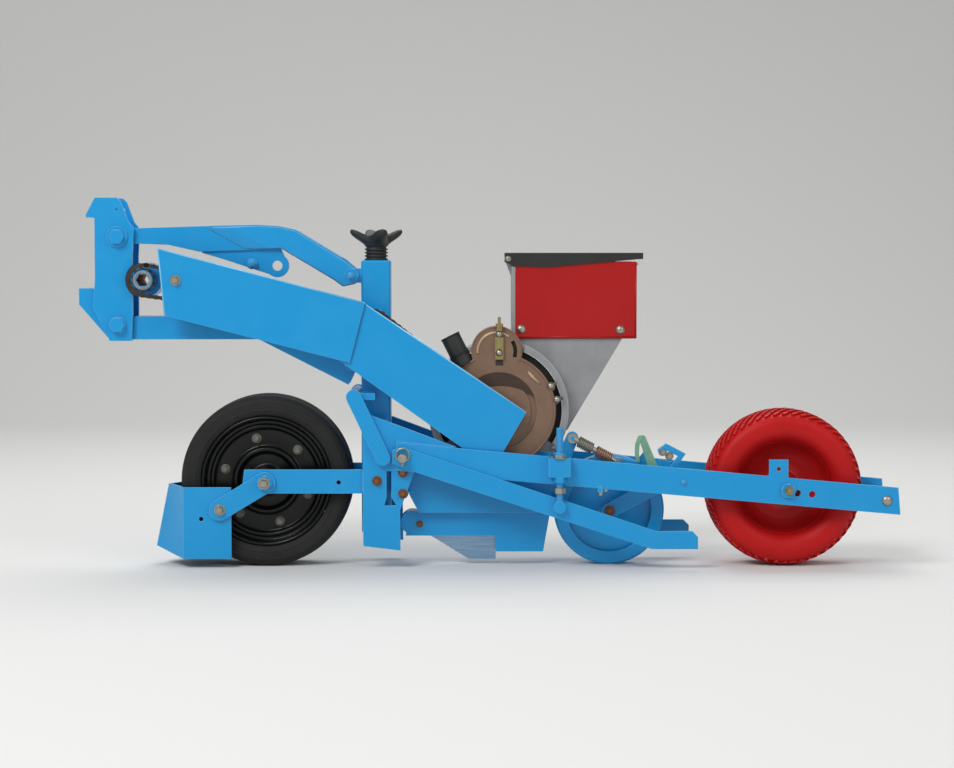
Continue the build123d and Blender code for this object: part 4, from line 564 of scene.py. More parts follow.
def slab(work, outline, low, high, far_outline=None):
    """Adds a plate to a mesh: an outline of (x, z) points from one y to another, flared if asked."""
    near = [work.verts.new((x, low, z)) for x, z in outline]
    far = [work.verts.new((x, high, z)) for x, z in far_outline or outline]
    work.faces.new(near)
    work.faces.new(far[::-1])
    skin(work, [far, near], closed=False)


def finished(name, work, material, body, smooth=False, bevel=0.0):
    """Closes a mesh, turns its faces outwards and keeps it on a body, its edges broken if asked."""
    bmesh.ops.remove_doubles(work, verts=work.verts, dist=0.00001)
    bmesh.ops.recalc_face_normals(work, faces=work.faces)
    if bevel:
        sharp = [e for e in work.edges if len(e.link_faces) == 2 and e.calc_face_angle(0) > 0.5]
        bmesh.ops.bevel(
            work, geom=sharp, offset=bevel, segments=2, affect="EDGES", clamp_overlap=True)
    return shaped(name, work, material, body, smooth)


# Case-hardened chain steel: dark, wet with oil and soil, a little brighter on its plates.
chain_steel = mottled(
    "oiled_chain_steel", {"Metallic": 0.85, "Roughness": 0.42}, "241F1B", "6B5D50", 140.0, 5.0)[0]
dress(chain_steel, "jack_shaft", "meter_shaft")

for name, body, start, start_radius, end, end_radius, near_y, far_y in chain_runs:
    work = bmesh.new()
    middle_y = (near_y + far_y) / 2
    stations = chain_stations(start, start_radius, end, end_radius, chain_pitch)
    for number, (x, z) in enumerate(stations):
        after = stations[(number + 1) % len(stations)]
        run = Vector((after[0] - x, after[1] - z))
        lean = atan2(run[1], run[0])
        plate_line = round_of(0.0, 0.0, link_end, range(90, 271, 45))
        plate_line.append((run.length / 2, -link_waist))
        plate_line += round_of(run.length, 0.0, link_end, range(-90, 91, 45))
        plate_line.append((run.length / 2, link_waist))
        plate_line = [
            (x + u * cos(lean) - v * sin(lean), z + u * sin(lean) + v * cos(lean))
            for u, v in plate_line]
        spread = outer_spread if number % 2 else inner_spread
        for face in (middle_y - spread, middle_y + spread):
            slab(work, plate_line, face - plate_half, face + plate_half)
        slab(work, round_of(x, z, roller_radius, range(0, 360, 45)),
             middle_y - roller_half, middle_y + roller_half)
        slab(work, round_of(x, z, rivet_radius, range(0, 360, 60)), near_y, far_y)
    chain_piece = finished(name + "_links", work, chain_steel, body)
    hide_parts(name)

# Drive hub: a turned steel hub whose chain wheel is left bare and oiled, with a hexagonal bore that
# has rusted where the toolbar's shaft slides through, and a circlip at its near end.
wheel_tip, wheel_root, wheel_bore, wheel_teeth = 0.0232, 0.0190, 0.0150, 11
wheel_face, wheel_back, circlip_face, hub_face, hub_back = -0.0543, -0.0457, -0.0592, -0.0578, 0.0468
tooth_steps, tooth_half = 12, 2
circlip_inside, circlip_outside = 0.0134, 0.0160
bore_corner, bore_skin = 0.0126, 0.0007


def ring_plate(work, centre, inner, rims, low, high):
    """Adds a flat ring to a mesh: rims gives its outer radius at even turns, from one y to another."""
    corners = []
    for i, rim in enumerate(rims):
        turn = 2 * pi * i / len(rims)
        corners.append([
            work.verts.new((centre[0] + radius * cos(turn), y, centre[1] + radius * sin(turn)))
            for radius, y in ((inner, low), (rim, low), (rim, high), (inner, high))])
    skin(work, corners, closed=True)


teeth_line = [
    wheel_tip if min(i % tooth_steps, tooth_steps - i % tooth_steps) <= tooth_half else wheel_root
    for i in range(wheel_teeth * tooth_steps)]
work = bmesh.new()
ring_plate(work, drive_hub_axle, wheel_bore, teeth_line, wheel_face, wheel_back)
finished("drive_hub_chain_wheel", work, chain_steel, "headstock")
work = bmesh.new()
ring_plate(work, drive_hub_axle, circlip_inside, [circlip_outside] * 48, circlip_face, hub_face)
finished("drive_hub_circlip", work, zinc, "headstock", bevel=0.0003)
bore_line = [(bore_corner, hub_face), (bore_corner - bore_skin, hub_face),
             (bore_corner - bore_skin, hub_back), (bore_corner, hub_back)]
lathe("drive_hub_rusty_bore", bore_line, drive_hub_axle, 6, rusted, "headstock",
      smooth=False)

# Upper link: a second folded plate is welded over the channel's rear half; its front edge is drawn
# down in a sloping step, which looks darker than the flat plates on both sides of it.
step_top, step_base = (-0.4670, 0.6120), (-0.3920, 0.5742)
step_top_foot, step_base_foot = (-0.5110, 0.6120), (-0.4400, 0.5722)
cover_plate_line = [
    (-0.4150, 0.6146), (-0.3772, 0.6124), (-0.3478, 0.6056), (-0.2596, 0.5518), (-0.2400, 0.5366),
    (-0.2400, 0.5156), (-0.2440, 0.5108), (-0.2604, 0.5068), (-0.2780, 0.5192), (-0.3716, 0.5748),
]
cover_plate_face, cover_plate_back = 0.0335, 0.0282
work = bmesh.new()
for side in (-1, 1):
    slab(work, [step_top] + cover_plate_line + [step_base], side * cover_plate_face,
         side * cover_plate_back, [step_top_foot] + cover_plate_line + [step_base_foot])
finished("upper_link_cover_plates", work, enamel, "upper_link", bevel=0.0008)

# Linkage and frame hardware: bolts that hold the guards, arms and straps, zinc-plated where they are
# ever undone, rusted where they carry load, and painted over on the pivots and rails.
near_bolts = [
    # name, place, across flats, material, body
    ("guard", (-0.5570, -0.0780, 0.5170), 0.0125, zinc, "chain_guard"),
    ("strap", (-0.4810, -0.0760, 0.1060), 0.0130, zinc, "frame"),
    ("axle", (-0.4000, -0.0900, 0.1550), 0.0135, zinc, "frame"),
    ("side_plate", (-0.1989, -0.0760, 0.1585), 0.0115, rusted, "frame"),
    ("rear_axle", (0.5365, -0.0925, 0.1425), 0.0100, yellow_zinc, "frame"),
    ("rail", (0.3490, -0.0840, 0.1570), 0.0060, enamel, "frame"),
    ("rear_pivot", (-0.2465, -0.0415, 0.5250), 0.0090, enamel, "upper_link"),
    ("latch", (-0.4255, -0.0280, 0.5465), 0.0130, enamel, "upper_link"),
    ("brace_high", (-0.1527, -0.0760, 0.1731), 0.0110, rusted, "frame"),
    ("brace_low", (-0.1527, -0.0760, 0.1356), 0.0110, rusted, "frame"),
    ("body_plate", (0.0705, -0.0400, 0.1180), 0.0115, rusted, "frame"),
    ("shoe_nose", (-0.1240, -0.0220, 0.0745), 0.0080, rusted, "frame"),
    ("press_axle", (0.2200, -0.0370, 0.1000), 0.0120, rusted, "frame"),
]
bolt_head_share, bolt_washer_share, bolt_stud_share = 0.55, 0.78, 0.15
for number, (name, place, across, material, body) in enumerate(near_bolts):
    rows = [(place, (0, -1, 0), radians(11 + 17 * number))]
    if body != "chain_guard":
        rows.append(((place[0], -place[1], place[2]), (0, 1, 0), radians(23 + 13 * number)))
    grown(name + "_bolts", bolts, rows, {
        "Across": across, "Head": bolt_head_share * across, "Washer": bolt_washer_share * across,
        "Washer thickness": 0.0018, "Stud": bolt_stud_share * across},
        material, body)

# Guard edges: the sheet guards are folded inwards along the top; the fold's round back is drawn as
# a thin bar in the paler enamel, a painted highlight for the one bright line it catches.
guard_edges = [
    # name, body, y, start, end
    ("front_guard_fold", "chain_guard", -0.0770, (-0.5878, 0.5730), (-0.2199, 0.4770)),
    ("front_guard_nose", "chain_guard", -0.0770, (-0.5760, 0.4540), (-0.5878, 0.5730)),
    ("rear_guard_fold", "frame", -0.0722, (-0.2221, 0.4760), (0.0680, 0.2810)),
]
guard_fold_radius = 0.0014


def tube(work, path, radius, corners=10, closed=False):
    """Adds a round bar along a path of places to a mesh, closed at its ends or into a ring."""
    places = [Vector(place) for place in path]
    side, rings = None, []
    for i, place in enumerate(places):
        before = places[i - 1] if i or closed else place
        after = places[(i + 1) % len(places)] if i + 1 < len(places) or closed else place
        ahead = (after - before).normalized()
        if side is None:
            side = ahead.orthogonal()
        side = (side - ahead * side.dot(ahead)).normalized()
        up = ahead.cross(side)
        width = radius[i] if isinstance(radius, (list, tuple)) else radius
        rings.append([work.verts.new(
            place + (side * cos(2 * pi * c / corners) + up * sin(2 * pi * c / corners)) * width)
            for c in range(corners)])
    skin(work, rings, closed)
    if not closed:
        work.faces.new(rings[0][::-1])
        work.faces.new(rings[-1])


for name, body, y, start, end in guard_edges:
    work = bmesh.new()
    tube(work, [(start[0], y, start[1]), (end[0], y, end[1])], guard_fold_radius)
    finished(name, work, fold_highlight_enamel, body, smooth=True)

# Weld seams: the mild-steel plates are joined by hand-run beads, sprayed over with the same enamel,
# so only their ripples catch the light where the plates meet.
mirrored_seams = [
    # start, end, facing, on the near side
    ((-0.163, -0.0768, 0.2286), (-0.060, -0.0768, 0.2192), (0, -1, 1)),
    ((-0.2246, -0.0700, 0.1370), (-0.2246, -0.0700, 0.1765), (-1, -0.6, 0)),
    ((0.1085, -0.0846, 0.2012), (0.1085, -0.0846, 0.1672), (-1, -1, 0)),
    ((0.1461, -0.0846, 0.2012), (0.1461, -0.0846, 0.1672), (1, -1, 0)),
]
single_seams = [
    ((0.502, -0.0768, 0.1680), (0.536, -0.0768, 0.1650), (0, -1, 1)),
    ((-0.2290, -0.0240, 0.3200), (-0.1770, -0.0240, 0.3200), (0, -1, 1)),
    ((0.7010, -0.0755, 0.1240), (0.7010, -0.0755, 0.1250), (0, 1, 0)),
]
ripple_pitch, ripple_size, ripple_twist = 0.0028, 0.0030, 0.9

ripples, size = tree_of("weld_ripples", "Size")
drop = add(ripples, "GeometryNodeMeshUVSphere", {"Segments": 8, "Rings": 5, "Radius": size["Size"]})
flat_drop = add(ripples, "GeometryNodeTransform", {
    "Geometry": drop.outputs["Mesh"], "Scale": (1.0, 0.75, 0.55)})
end_tree(ripples, size, flat_drop, smooth=True)
weld_seams = single_seams + [
    [(x, side * y, z) for x, y, z in seam] for seam in mirrored_seams for side in (1, -1)]
rows = []
for start, end, facing in weld_seams:
    start, end = Vector(start), Vector(end)
    count = max(1, int((end - start).length / ripple_pitch))
    rows += [(tuple(start.lerp(end, i / count)), facing, ripple_twist * (i % 3))
             for i in range(count + 1)]
grown("weld_beads", ripples, rows, {"Size": ripple_size}, enamel, "frame")

# Depth knob: a four-lobed handle with a ribbed neck, moulded in black glass-filled nylon, that turns
# the screw inside the column; its lobes rise to their tips round a hollow top.
knob_axis, knob_turn, knob_steps = (-0.2025, 0.0), radians(17), 96
neck_ridge, neck_groove, ridge_pitch = 0.0210, 0.0182, 0.0060
knob_neck = [(0.5526, 0.0195), (0.5526, neck_ridge)]
for foot in (0.5556 + ridge * ridge_pitch for ridge in range(3)):
    knob_neck += [(foot, neck_ridge), (foot + 0.0004, neck_groove), (foot + 0.0030, neck_groove),
                  (foot + 0.0034, neck_ridge)]
knob_neck += [(0.5736, neck_ridge), (0.5740, neck_groove), (0.5770, neck_groove), (0.5776, 0.0205)]
knob_levels = [(height, radius, 0.0, 0.0) for height, radius in knob_neck] + [
    # height, plain radius, how far the lobes stand out, how far they rise at their tips
    (0.5806, 0.0212, 0.0010, 0.0), (0.5826, 0.0225, 0.0060, 0.0030),
    (0.5848, 0.0240, 0.0140, 0.0070), (0.5876, 0.0252, 0.0198, 0.0096),
    (0.5914, 0.0262, 0.0224, 0.0108), (0.5950, 0.0262, 0.0222, 0.0112),
    (0.5968, 0.0254, 0.0208, 0.0116), (0.5972, 0.0244, 0.0150, 0.0098),
    (0.5970, 0.0234, 0.0060, 0.0046), (0.5966, 0.0226, 0.0, 0.0), (0.5946, 0.0206, 0.0, 0.0),
    (0.5920, 0.0196, 0.0, 0.0), (0.5910, 0.0180, 0.0, 0.0),
]

# Glass-filled nylon, moulded black: matt, with a fine spark-eroded grain and a grey bloom of dust.
black_nylon, tree, surface, place, _ = mottled("glass_filled_nylon_black", {
    "Roughness": 0.5, "Specular IOR Level": 0.4}, "151616", "353637", 35.0, 6.0)
grained(tree, surface, place, 900.0, 2.0, 0.2, 0.0003)
dress(black_nylon, "seed_tube", "air_stub")

work = bmesh.new()
knob_rings = []
for height, radius, lobe, rise in knob_levels:
    ring = []
    for step in range(knob_steps):
        turn = 2 * pi * step / knob_steps
        share = (0.5 + 0.5 * cos(4 * (turn - knob_turn))) ** 1.4
        reach = radius + lobe * share
        ring.append(work.verts.new((
            knob_axis[0] + reach * cos(turn), knob_axis[1] + reach * sin(turn), height + rise * share)))
    knob_rings.append(ring)
skin(work, knob_rings, closed=False)
work.faces.new(knob_rings[0][::-1])
work.faces.new(knob_rings[-1])
knob_piece = finished("depth_knob_handle", work, black_nylon, "frame", smooth=True)
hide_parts("depth_knob")

# Seed meter: a ring housing and chamber sand-cast in aluminium, closed by a bronze-lacquered cover
# that two catches at its edge and the sprung latch on its ear hold against the ring.
meter_centre, ear_centre = (0.019, 0.283), (0.0154, 0.389)
cover_face, cover_skin, cover_edge_rise = -0.052, 0.0003, 0.0002
ring_arcs = ((-32, 68), (112, 212))
ring_lip, ring_outer = 0.1136, 0.1262
cover_beads = [
    # centre, radius, first and last angle, step, wire
    (meter_centre, 0.1005, 116, 424, 3, 0.0024), (ear_centre, 0.0442, 204, -24, 4, 0.0016),
]
ear_bead = (ear_centre, 0.0345, 186, 50, 5, 0.0026)
ear_rib = [
    # x, rise, z, wire
    (0.0713, 0.0, 0.3538, 0.0022), (0.0790, 0.0005, 0.3440, 0.0036), (0.0935, 0.0, 0.3310, 0.0022),
]
# Painted shade strips, for the shaded gap inside the ring and the ear's slot:
gap_shade_strips = [
    # centre, inner and outer radius, angles, near and far face
    (ear_centre, 0.0302, 0.0368, (-17, 33), -0.0478, -0.0471),
    (meter_centre, 0.1031, ring_lip, ring_arcs[0], -0.0356, -0.0341),
    (meter_centre, 0.1031, ring_lip, ring_arcs[1], -0.0356, -0.0341),
]
band_face, band_back = -0.0424, -0.0398
# The bright line at the ring's inner edge is partly a painted highlight.
highlight_line_face, highlight_line_radius, highlight_line_wire = -0.0422, 0.1142, 0.0009
# The crescent and the patch below the latch are painted shade.
recess_arc, recess_outer, recess_deepest, recess_steps = (22, 160), 0.0690, 0.0250, 12
latch_shadow_front, latch_shadow_rear, latch_shadow_low, latch_shadow_high = 0.0132, 0.0272, 0.3640, 0.3762
catches = [((0.1122, 0.3275), 24), ((0.1235, 0.3030), 10)]  # place, lean in degrees
catch_length, catch_foot, catch_top, catch_wire = 0.0105, -0.003, 0.004, 0.0030
catch_ball_rise = 0.0010
latch_balls = [(0.0199, -0.0568, 0.3871), (0.0199, -0.0570, 0.4208)]


def arc_of(centre, y, radius, start, end, step):
    """Places along an arc in a plane along the row, from one angle to another, in degrees."""
    count = max(2, int(abs(end - start) / step))
    angles = [start + (end - start) * i / count for i in range(count + 1)]
    return [(x, y, z) for x, z in round_of(*centre, radius, angles)]


def arc_plate(work, centre, inner, outer, angles, low, high):
    """Adds a curved strip to a mesh; a list of inner radii is spread along the arc."""
    outside = arc_of(centre, 0, outer, *angles, 4)
    radii = inner if isinstance(inner, list) else [inner] * 2
    inside = []
    for i, (x, y, z) in enumerate(outside):
        spot = i / (len(outside) - 1) * (len(radii) - 1)
        part = min(int(spot), len(radii) - 2)
        share = (radii[part] + (radii[part + 1] - radii[part]) * (spot - part)) / outer
        inside.append((centre[0] + (x - centre[0]) * share, centre[1] + (z - centre[1]) * share))
    slab(work, [(x, z) for x, y, z in outside] + inside[::-1], low, high)


def cast(name, sockets, low_tint, high_tint, rubbed_and_highlight_tint):
    """Sand-cast metal: a coarse skin from the mould, its edges paler, partly rubbed by handling and
    partly painted highlight.
    """
    material, tree, surface, place, _ = mottled(name, sockets, low_tint, high_tint, 30.0, 7.0)
    rounded = edge_wear_and_highlight(tree, surface, rubbed_and_highlight_tint, 0.0018, 0.8)
    grained(tree, surface, place, 420.0, 3.0, 0.35, 0.0006, rounded)
    return material


# Bronze lacquer on a sand casting: brown and satin, with the mould's grain under the coat.
bronze_lacquer = cast("bronze_lacquer_on_casting", {
    "Roughness": 0.46, "Specular IOR Level": 0.5, "Metallic": 0.15}, "705746", "8A6E59", "A88E78")
# The same lacquer on the crests, paler and coppery: partly rubbed thin by hands, partly a painted
# highlight.
rubbed_and_highlit_bronze = cast("bronze_lacquer_rubbed_and_painted_highlight", {
    "Roughness": 0.36, "Metallic": 0.35}, "A5876C", "CDB093", "DCC5AC")
# The same lacquer darkened as painted shade, for the shadow in the cover's hollows.
shaded_bronze = cast("bronze_lacquer_painted_shade", {
    "Roughness": 0.6, "Specular IOR Level": 0.35}, "2E241D", "4C3B2F", "5E4A3B")
# Bare sand-cast aluminium alloy: pale grey, dull, a little oxidised.
cast_aluminium = cast("sand_cast_aluminium", {
    "Roughness": 0.52, "Metallic": 0.55}, "8A8B8E", "A8A9AC", "D2D3D6")
# Turned aluminium: fairly smooth, with the tool's fine rings; its bright, near-white tint is partly a
# painted highlight.
turned_highlight_aluminium = mottled("turned_aluminium_painted_highlight", {
    "Metallic": 1.0, "Roughness": 0.3}, "B9BBBE", "DCDDDF", 300.0, 2.0)[0]
dress(bronze_lacquer, "meter_cover")
dress(cast_aluminium, "meter_housing", "seed_chamber", "hinge_strip")
dress(yellow_zinc, "meter_latch")

# The cover's rolled rim and the ear's outer edge; its arc and the rib by it are paler on top, part
# rubbed and part painted highlight.
edge_face = cover_face + cover_edge_rise
work = bmesh.new()
for centre, radius, first, last, step, wire in cover_beads:
    tube(work, arc_of(centre, edge_face, radius, first, last, step), wire, 8)
finished("meter_cover_rims", work, bronze_lacquer, "frame", smooth=True)
work = bmesh.new()
centre, radius, first, last, step, wire = ear_bead
tube(work, arc_of(centre, edge_face, radius, first, last, step), wire, 8)
tube(work, [(x, cover_face - rise, z) for x, rise, z, wire in ear_rib], [row[3] for row in ear_rib])
finished("meter_cover_ridges", work, rubbed_and_highlit_bronze, "frame", smooth=True)

# Painted shade: a dark crescent on the cover's face for the shadow in its recess, and a dark patch for
# the shadow below the latch strap.
work = bmesh.new()
shade_crescent = [recess_outer - recess_deepest * sin(pi * i / recess_steps) ** 0.7
            for i in range(recess_steps + 1)]
arc_plate(work, meter_centre, shade_crescent, recess_outer, recess_arc, cover_face - cover_skin, edge_face)
slab(work, [(latch_shadow_front, latch_shadow_low), (latch_shadow_rear, latch_shadow_low), (latch_shadow_rear, latch_shadow_high),
            (latch_shadow_front, latch_shadow_high)], cover_face - cover_skin, edge_face)
finished("meter_cover_painted_shade", work, shaded_bronze, "frame")

# Painted shade: strips of black rubber laid in the gap inside the ring and on the ear's slot floor,
# where there is only shade.
work = bmesh.new()
for strip in gap_shade_strips:
    arc_plate(work, *strip)
finished("gap_painted_shade", work, rubber, "frame")

domes, size = tree_of("domed_screws", "Radius", "Rise", "Washer")
dome_ball = add(domes, "GeometryNodeMeshUVSphere", {
    "Segments": 20, "Rings": 12, "Radius": size["Radius"]})
dome_cap = add(domes, "GeometryNodeTransform", {
    "Geometry": dome_ball.outputs["Mesh"], "Scale": upright(domes, 1.0, 1.0, size["Rise"])})
dome_both = add(domes, "GeometryNodeJoinGeometry", {"Geometry": dome_cap.outputs["Geometry"]})
domes.links.new(drum(domes, 24, size["Washer"], size["Washer"], 0.0, 0.0012), dome_both.inputs[0])
end_tree(domes, size, dome_both, smooth=True)

# The catches on the cover's edge and the latch's ball and boss: turned, domed and zinc-plated.
work = bmesh.new()
for (x, z), lean in catches:
    (tip_x, tip_z), = round_of(x, z, catch_length, [lean])
    tube(work, [(x, cover_face + catch_foot, z), (tip_x, cover_face + catch_top, tip_z)],
         catch_wire, 8)
finished("cover_catches", work, dull_zinc, "frame", smooth=True)
ball_places = [(x, cover_face - catch_ball_rise, z) for (x, z), lean in catches] + latch_balls
grown("catch_and_latch_balls", domes, [(place, (0, -1, 0), 0.0) for place in ball_places], {
    "Radius": 0.0062, "Rise": 1.0, "Washer": 0.0066}, zinc, "frame")

# The ring's lip is faced on a lathe: a pale flat band, and at its inner edge a bright line of turned
# aluminium whose pale tint is partly a painted highlight.
band, highlight_line = bmesh.new(), bmesh.new()
for angles in ring_arcs:
    arc_plate(band, meter_centre, ring_lip, ring_outer, angles, band_face, band_back)
    tube(highlight_line, arc_of(meter_centre, highlight_line_face, highlight_line_radius, *angles, 3),
         highlight_line_wire, 8)
finished("ring_faced_band", band, cast_aluminium, "frame", bevel=0.0008)
finished("ring_edge_painted_highlight", highlight_line, turned_highlight_aluminium, "frame", smooth=True)

# Air connection: a short hose of black rubber, pushed over the stub, with a rolled mouth and two
# ridges where it is gripped.
stub_mouth, stub_lean = Vector((-0.0687, -0.043, 0.417)), radians(26.6)
stub_run = Vector((sin(stub_lean), 0.0, -cos(stub_lean)))
stub_side = Vector((0, 1, 0))
stub_up = stub_run.cross(stub_side)
work = bmesh.new()
for along, radius, thick in (
        (0.0014, 0.0172, 0.0014), (0.0360, 0.0176, 0.0010), (0.0390, 0.0176, 0.0010)):
    middle = stub_mouth + stub_run * along
    tube(work, [middle + (stub_side * cos(radians(a)) + stub_up * sin(radians(a))) * radius
                for a in range(0, 360, 12)], thick, 6, closed=True)
finished("air_hose_ridges", work, rubber, "frame", smooth=True)

# Hopper: folded from red sheet, its rim turned out, riveted to the funnel with domed screws, and
# closed by a moulded lid that hinges on a grey strip at the front.
hopper_near, hopper_far, far_screw_face = -0.018, 0.1077, 0.1060
hopper_front, hopper_rear, hopper_low, hopper_high = 0.050, 0.267, 0.411, 0.550
low_screws = ((0.0599, 0.4278), (0.2393, 0.4267))
high_screws = ((0.0560, 0.5300), (0.2600, 0.5300))
screw_rows = [((x, hopper_near, z), (0, -1, 0), 0.0) for x, z in low_screws]
screw_rows += [((x, far_screw_face, z), (0, 1, 0), 0.0) for x, z in low_screws + high_screws]
grown("hopper_screws", domes, screw_rows, {
    "Radius": 0.0070, "Rise": 0.55, "Washer": 0.0082}, zinc, "frame")

# Moulded ABS, black: satin, its fine moulded grain rubbed smoother where hands lift it.
black_abs, tree, surface, place, _ = mottled("moulded_abs_black", {
    "Roughness": 0.45, "Specular IOR Level": 0.45}, "191A1A", "302F2F", 18.0, 7.0)
grained(tree, surface, place, 700.0, 2.0, 0.15, 0.0003)
# Extruded EPDM lip: off-white, dull.
white_rubber = mottled("extruded_epdm_off_white", {
    "Roughness": 0.7, "Specular IOR Level": 0.35}, "B8B7AE", "E3E2DC", 60.0, 5.0)[0]

# The hopper's turned-out base flange and its rear corner seams.
flange_wire, seam_wire, seam_end = 0.0022, 0.0016, 0.001
flange = [(hopper_front, hopper_near), (hopper_rear, hopper_near), (hopper_rear, hopper_far),
          (hopper_front, hopper_far)]
work = bmesh.new()
tube(work, [(x, y, hopper_low + flange_wire) for x, y in flange], flange_wire, 8, closed=True)
for x, y in flange[1:3]:
    tube(work, [(x, y, hopper_low), (x, y, hopper_high - seam_end)], seam_wire, 8)
finished("hopper_folded_edges", work, red_enamel, "frame", smooth=True)

# A pale rubber lip between the hopper's rear edge and its lid keeps rain out.
lip_x, lip_z, lip_inset, lip_wire = 0.2700, 0.5460, 0.004, 0.0026
work = bmesh.new()
tube(work, [(lip_x, hopper_near + lip_inset, lip_z), (lip_x, hopper_far - lip_inset, lip_z)],
     lip_wire, 8)
finished("rain_lip", work, white_rubber, "frame", smooth=True)

# The lid: black ABS, its skirt stiffened by ribs along the top, with a screw at the hinge.
dress(black_abs, "hopper_lid")
(lid_front, lid_near, _), (lid_rear, lid_far, lid_top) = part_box("hopper_lid")
rim_wire, rib_count, rib_half, rib_depth, rib_inset = 0.0017, 5, 0.001, 0.004, 0.006
rim_inset, rim_sink, rim_end, rib_sink = 0.0012, 0.0018, 0.002, 0.0002
rim_level, rib_top = lid_top - rim_sink, lid_top - rib_sink
work = bmesh.new()
for edge_y in (lid_near + rim_inset, lid_far - rim_wire):
    tube(work, [(lid_front + rim_end, edge_y, rim_level), (lid_rear - rim_end, edge_y, rim_level)],
         rim_wire, 8)
for rib in range(1, rib_count + 1):
    x = lid_front + rib * (lid_rear - lid_front) / (rib_count + 1)
    slab(work, [(x - rib_half, lid_top - rib_depth), (x + rib_half, lid_top - rib_depth),
                (x + rib_half, rib_top), (x - rib_half, rib_top)],
         lid_near + rib_inset, lid_far - rib_inset)
finished("lid_rim_ribs", work, black_abs, "lid")
grown("lid_hinge_screws", domes, [((0.0365, -0.0203, 0.5550), (0, -1, 0), 0.0)], {
    "Radius": 0.0050, "Rise": 0.30, "Washer": 0.0056}, zinc, "lid")

# Arm adjusters: threaded steel rods through the rail's lugs, painted with the frame; a zinc washer
# and thin nut sit on each lug and a second nut locks the rod above its eye.
adjuster_x, adjuster_y = 0.1273, 0.0966
thread_pitch, thread_radius, thread_ridge = 0.0022, 0.0068, 0.0012
thread_spans = [(0.2120, 0.2530), (0.1260, 0.1370), (0.1490, 0.1560)]
adjuster_nuts = [
    # foot, top, radius, corners
    (0.2008, 0.2028, 0.0132, 24), (0.2028, 0.2078, 0.0118, 6), (0.1380, 0.1480, 0.0112, 6),
]


def upright_bar(work, x, y, low, high, radius, corners):
    """Adds an upright bar to a mesh, round or many-sided, from one height to another."""
    tube(work, [(x, y, low), (x, y, high)], radius, corners)


turns, size = tree_of("thread_turns", "Radius", "Ridge")
ridge_half = sums(turns, "MULTIPLY", size["Ridge"], 0.5)
ridge_top = sums(turns, "SUBTRACT", size["Radius"], ridge_half)
flanks = add(turns, "GeometryNodeJoinGeometry")
for low_radius, high_radius, low in (
        (ridge_top, size["Radius"], 0.0), (size["Radius"], ridge_top, ridge_half)):
    turns.links.new(drum(turns, 16, low_radius, high_radius, low, ridge_half), flanks.inputs[0])
end_tree(turns, size, flanks)
grown("adjuster_threads", turns, [
    ((adjuster_x, y, low + i * thread_pitch), (0, 0, 1), 0.0)
    for y in (-adjuster_y, adjuster_y) for low, high in thread_spans
    for i in range(int((high - low) / thread_pitch) + 1)], {
    "Radius": thread_radius, "Ridge": thread_ridge}, enamel, "frame")
work = bmesh.new()
for y in (-adjuster_y, adjuster_y):
    for low, high, radius, corners in adjuster_nuts:
        upright_bar(work, adjuster_x, y, low, high, radius, corners)
finished("adjuster_nuts", work, zinc, "frame", bevel=0.0005)

# Arm pin: a steel pin through both rails and arms, kept in by a sprung lynch pin at each end, whose
# ring snaps down round it.
arm_pin_x, arm_pin_z = -0.1527, 0.2066
lynch_ring_y, lynch_ring_radius, lynch_ring_wire = 0.0946, 0.0118, 0.0016
lynch_foot_y, lynch_foot, lynch_top, lynch_radius = 0.0940, 0.1850, 0.1955, 0.0028
work = bmesh.new()
for side in (-1, 1):
    ring_y = side * lynch_ring_y
    tube(work, arc_of((arm_pin_x, arm_pin_z), ring_y, lynch_ring_radius, -80, 260, 10),
         lynch_ring_wire, 8)
    tube(work, [(arm_pin_x, ring_y, lynch_top), (arm_pin_x, side * lynch_foot_y, lynch_foot)],
         lynch_radius)
finished("lynch_pins", work, zinc, "frame", smooth=True)

# Rails: two flat steel bars with the tail tube between them, held by round-headed bolts, and a small
# stop bolt that hangs from the rail above the press wheel.
tail_bolt_x, tail_bolt_y, tail_bolt_z = 0.7130, 0.0842, 0.1236
stop_x, stop_y, rail_foot = 0.2010, -0.0790, 0.1500
stop_head_foot, stop_head_radius, stop_end_foot, stop_end_top, stop_end_radius = (
    0.1385, 0.0072, 0.1330, 0.1390, 0.0040)
stud_x, stud_foot, stud_radius = 0.2105, 0.1400, 0.0044
grown("tail_bolts", domes, [
    ((tail_bolt_x, side * tail_bolt_y, tail_bolt_z), (0, side, 0), 0.0) for side in (-1, 1)], {
    "Radius": 0.0090, "Rise": 0.55, "Washer": 0.0092}, zinc, "frame")
work = bmesh.new()
upright_bar(work, stop_x, stop_y, stop_head_foot, rail_foot, stop_head_radius, 6)
finished("stop_bolt_head", work, enamel, "frame", bevel=0.0006)
work = bmesh.new()
upright_bar(work, stop_x, stop_y, stop_end_foot, stop_end_top, stop_end_radius, 12)
upright_bar(work, stud_x, stop_y, stud_foot, rail_foot, stud_radius, 12)
finished("stop_bolt_ends", work, zinc, "frame", bevel=0.0005)

# Press spring: two coils on the rod between the body plate and the fork, the lower one rusted; a
# pale green lever of two straps and a welded bracket with its bolts set the pressure.
spring_start, spring_run = Vector((0.1520, -0.0530, 0.2330)), Vector((0.0797, 0.0, -0.0431))
coil_radius, coil_wire, coil_turns, coil_steps = 0.0094, 0.0013, 8, 12
across = Vector((0, 1, 0))
spring_up = spring_run.normalized().cross(across)
coil_points = coil_turns * coil_steps
for name, start, end, material in (
        ("upper_spring_coil", 0.13, 0.45, dull_zinc), ("lower_spring_coil", 0.53, 0.87, rusted)):
    work = bmesh.new()
    coil = []
    for i in range(coil_points + 1):
        way = 2 * pi * i / coil_steps
        middle = spring_start + spring_run * (start + (end - start) * i / coil_points)
        coil.append(middle + (across * cos(way) + spring_up * sin(way)) * coil_radius)
    tube(work, coil, coil_wire, 6)
    finished(name, work, material, "frame", smooth=True)

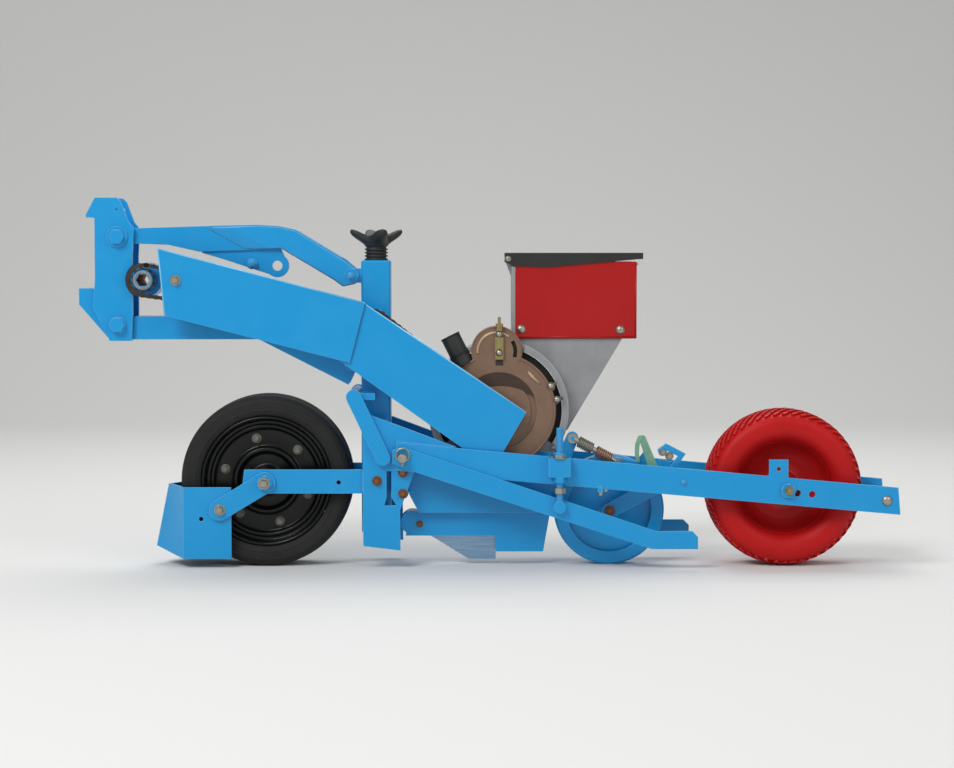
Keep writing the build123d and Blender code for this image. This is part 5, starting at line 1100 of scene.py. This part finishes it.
# Pale green machine enamel on the lever, scuffed at its edges.
green_enamel = mottled("alkyd_enamel_pale_green", {
    "Roughness": 0.4, "Specular IOR Level": 0.4}, "5C8F74", "8DBBA0", 50.0, 6.0)[0]
dress(green_enamel, "press_lever")
lever_strap_line = [
    (0.2810, 0.2388), (0.2700, 0.2380), (0.2645, 0.2240), (0.2634, 0.2060), (0.2656, 0.1900),
    (0.2732, 0.1900), (0.2714, 0.2060), (0.2724, 0.2210), (0.2762, 0.2300),
]
bracket_line = [
    (0.3040, 0.2120), (0.3200, 0.2240), (0.3556, 0.2052), (0.3340, 0.1730), (0.3250, 0.1780),
    (0.3414, 0.2008), (0.3216, 0.2106), (0.3110, 0.2030),
]
strap_face, strap_back, bracket_face, bracket_back = -0.0545, -0.0532, -0.0530, -0.0470
work = bmesh.new()
slab(work, lever_strap_line, strap_face, strap_back)
finished("press_lever_strap", work, green_enamel, "frame", bevel=0.0005)
work = bmesh.new()
slab(work, bracket_line, bracket_face, bracket_back)
finished("press_bracket", work, enamel, "frame", bevel=0.0006)
grown("press_bracket_bolts", bolts, [
    ((0.3140, -0.0500, 0.2085), (0, -1, 0), 0.3), ((0.3262, -0.0500, 0.2010), (0, -1, 0), 0.9)], {
    "Across": 0.0100, "Head": 0.0055, "Washer": 0.0078, "Washer thickness": 0.0014, "Stud": 0.0035},
    zinc, "frame")

# Wear blade: a plate of manganese steel bolted under the shoe, its paint long gone, scratched along
# the way it travels and bluish grey where the soil has polished it.
scratch_scale = (20.0, 300.0, 420.0)
worn_steel, tree, surface = shader("soil_polished_steel", {"Metallic": 0.9, "Roughness": 0.34})
travel = add(tree, "ShaderNodeMapping", {
    "Vector": add(tree, "ShaderNodeTexCoord").outputs["Object"], "Scale": scratch_scale})
scratches = add(tree, "ShaderNodeTexNoise", {
    "Vector": travel.outputs["Vector"], "Scale": 1.0, "Detail": 4.0})
steel_tint = add(tree, "ShaderNodeMix", {
    "Factor": scratches.outputs["Fac"], 6: linear("5A87B0"), 7: linear("B4CDE2")}, data_type="RGBA")
tree.links.new(steel_tint.outputs[2], surface.inputs["Base Color"])
dress(worn_steel, "wear_blade")
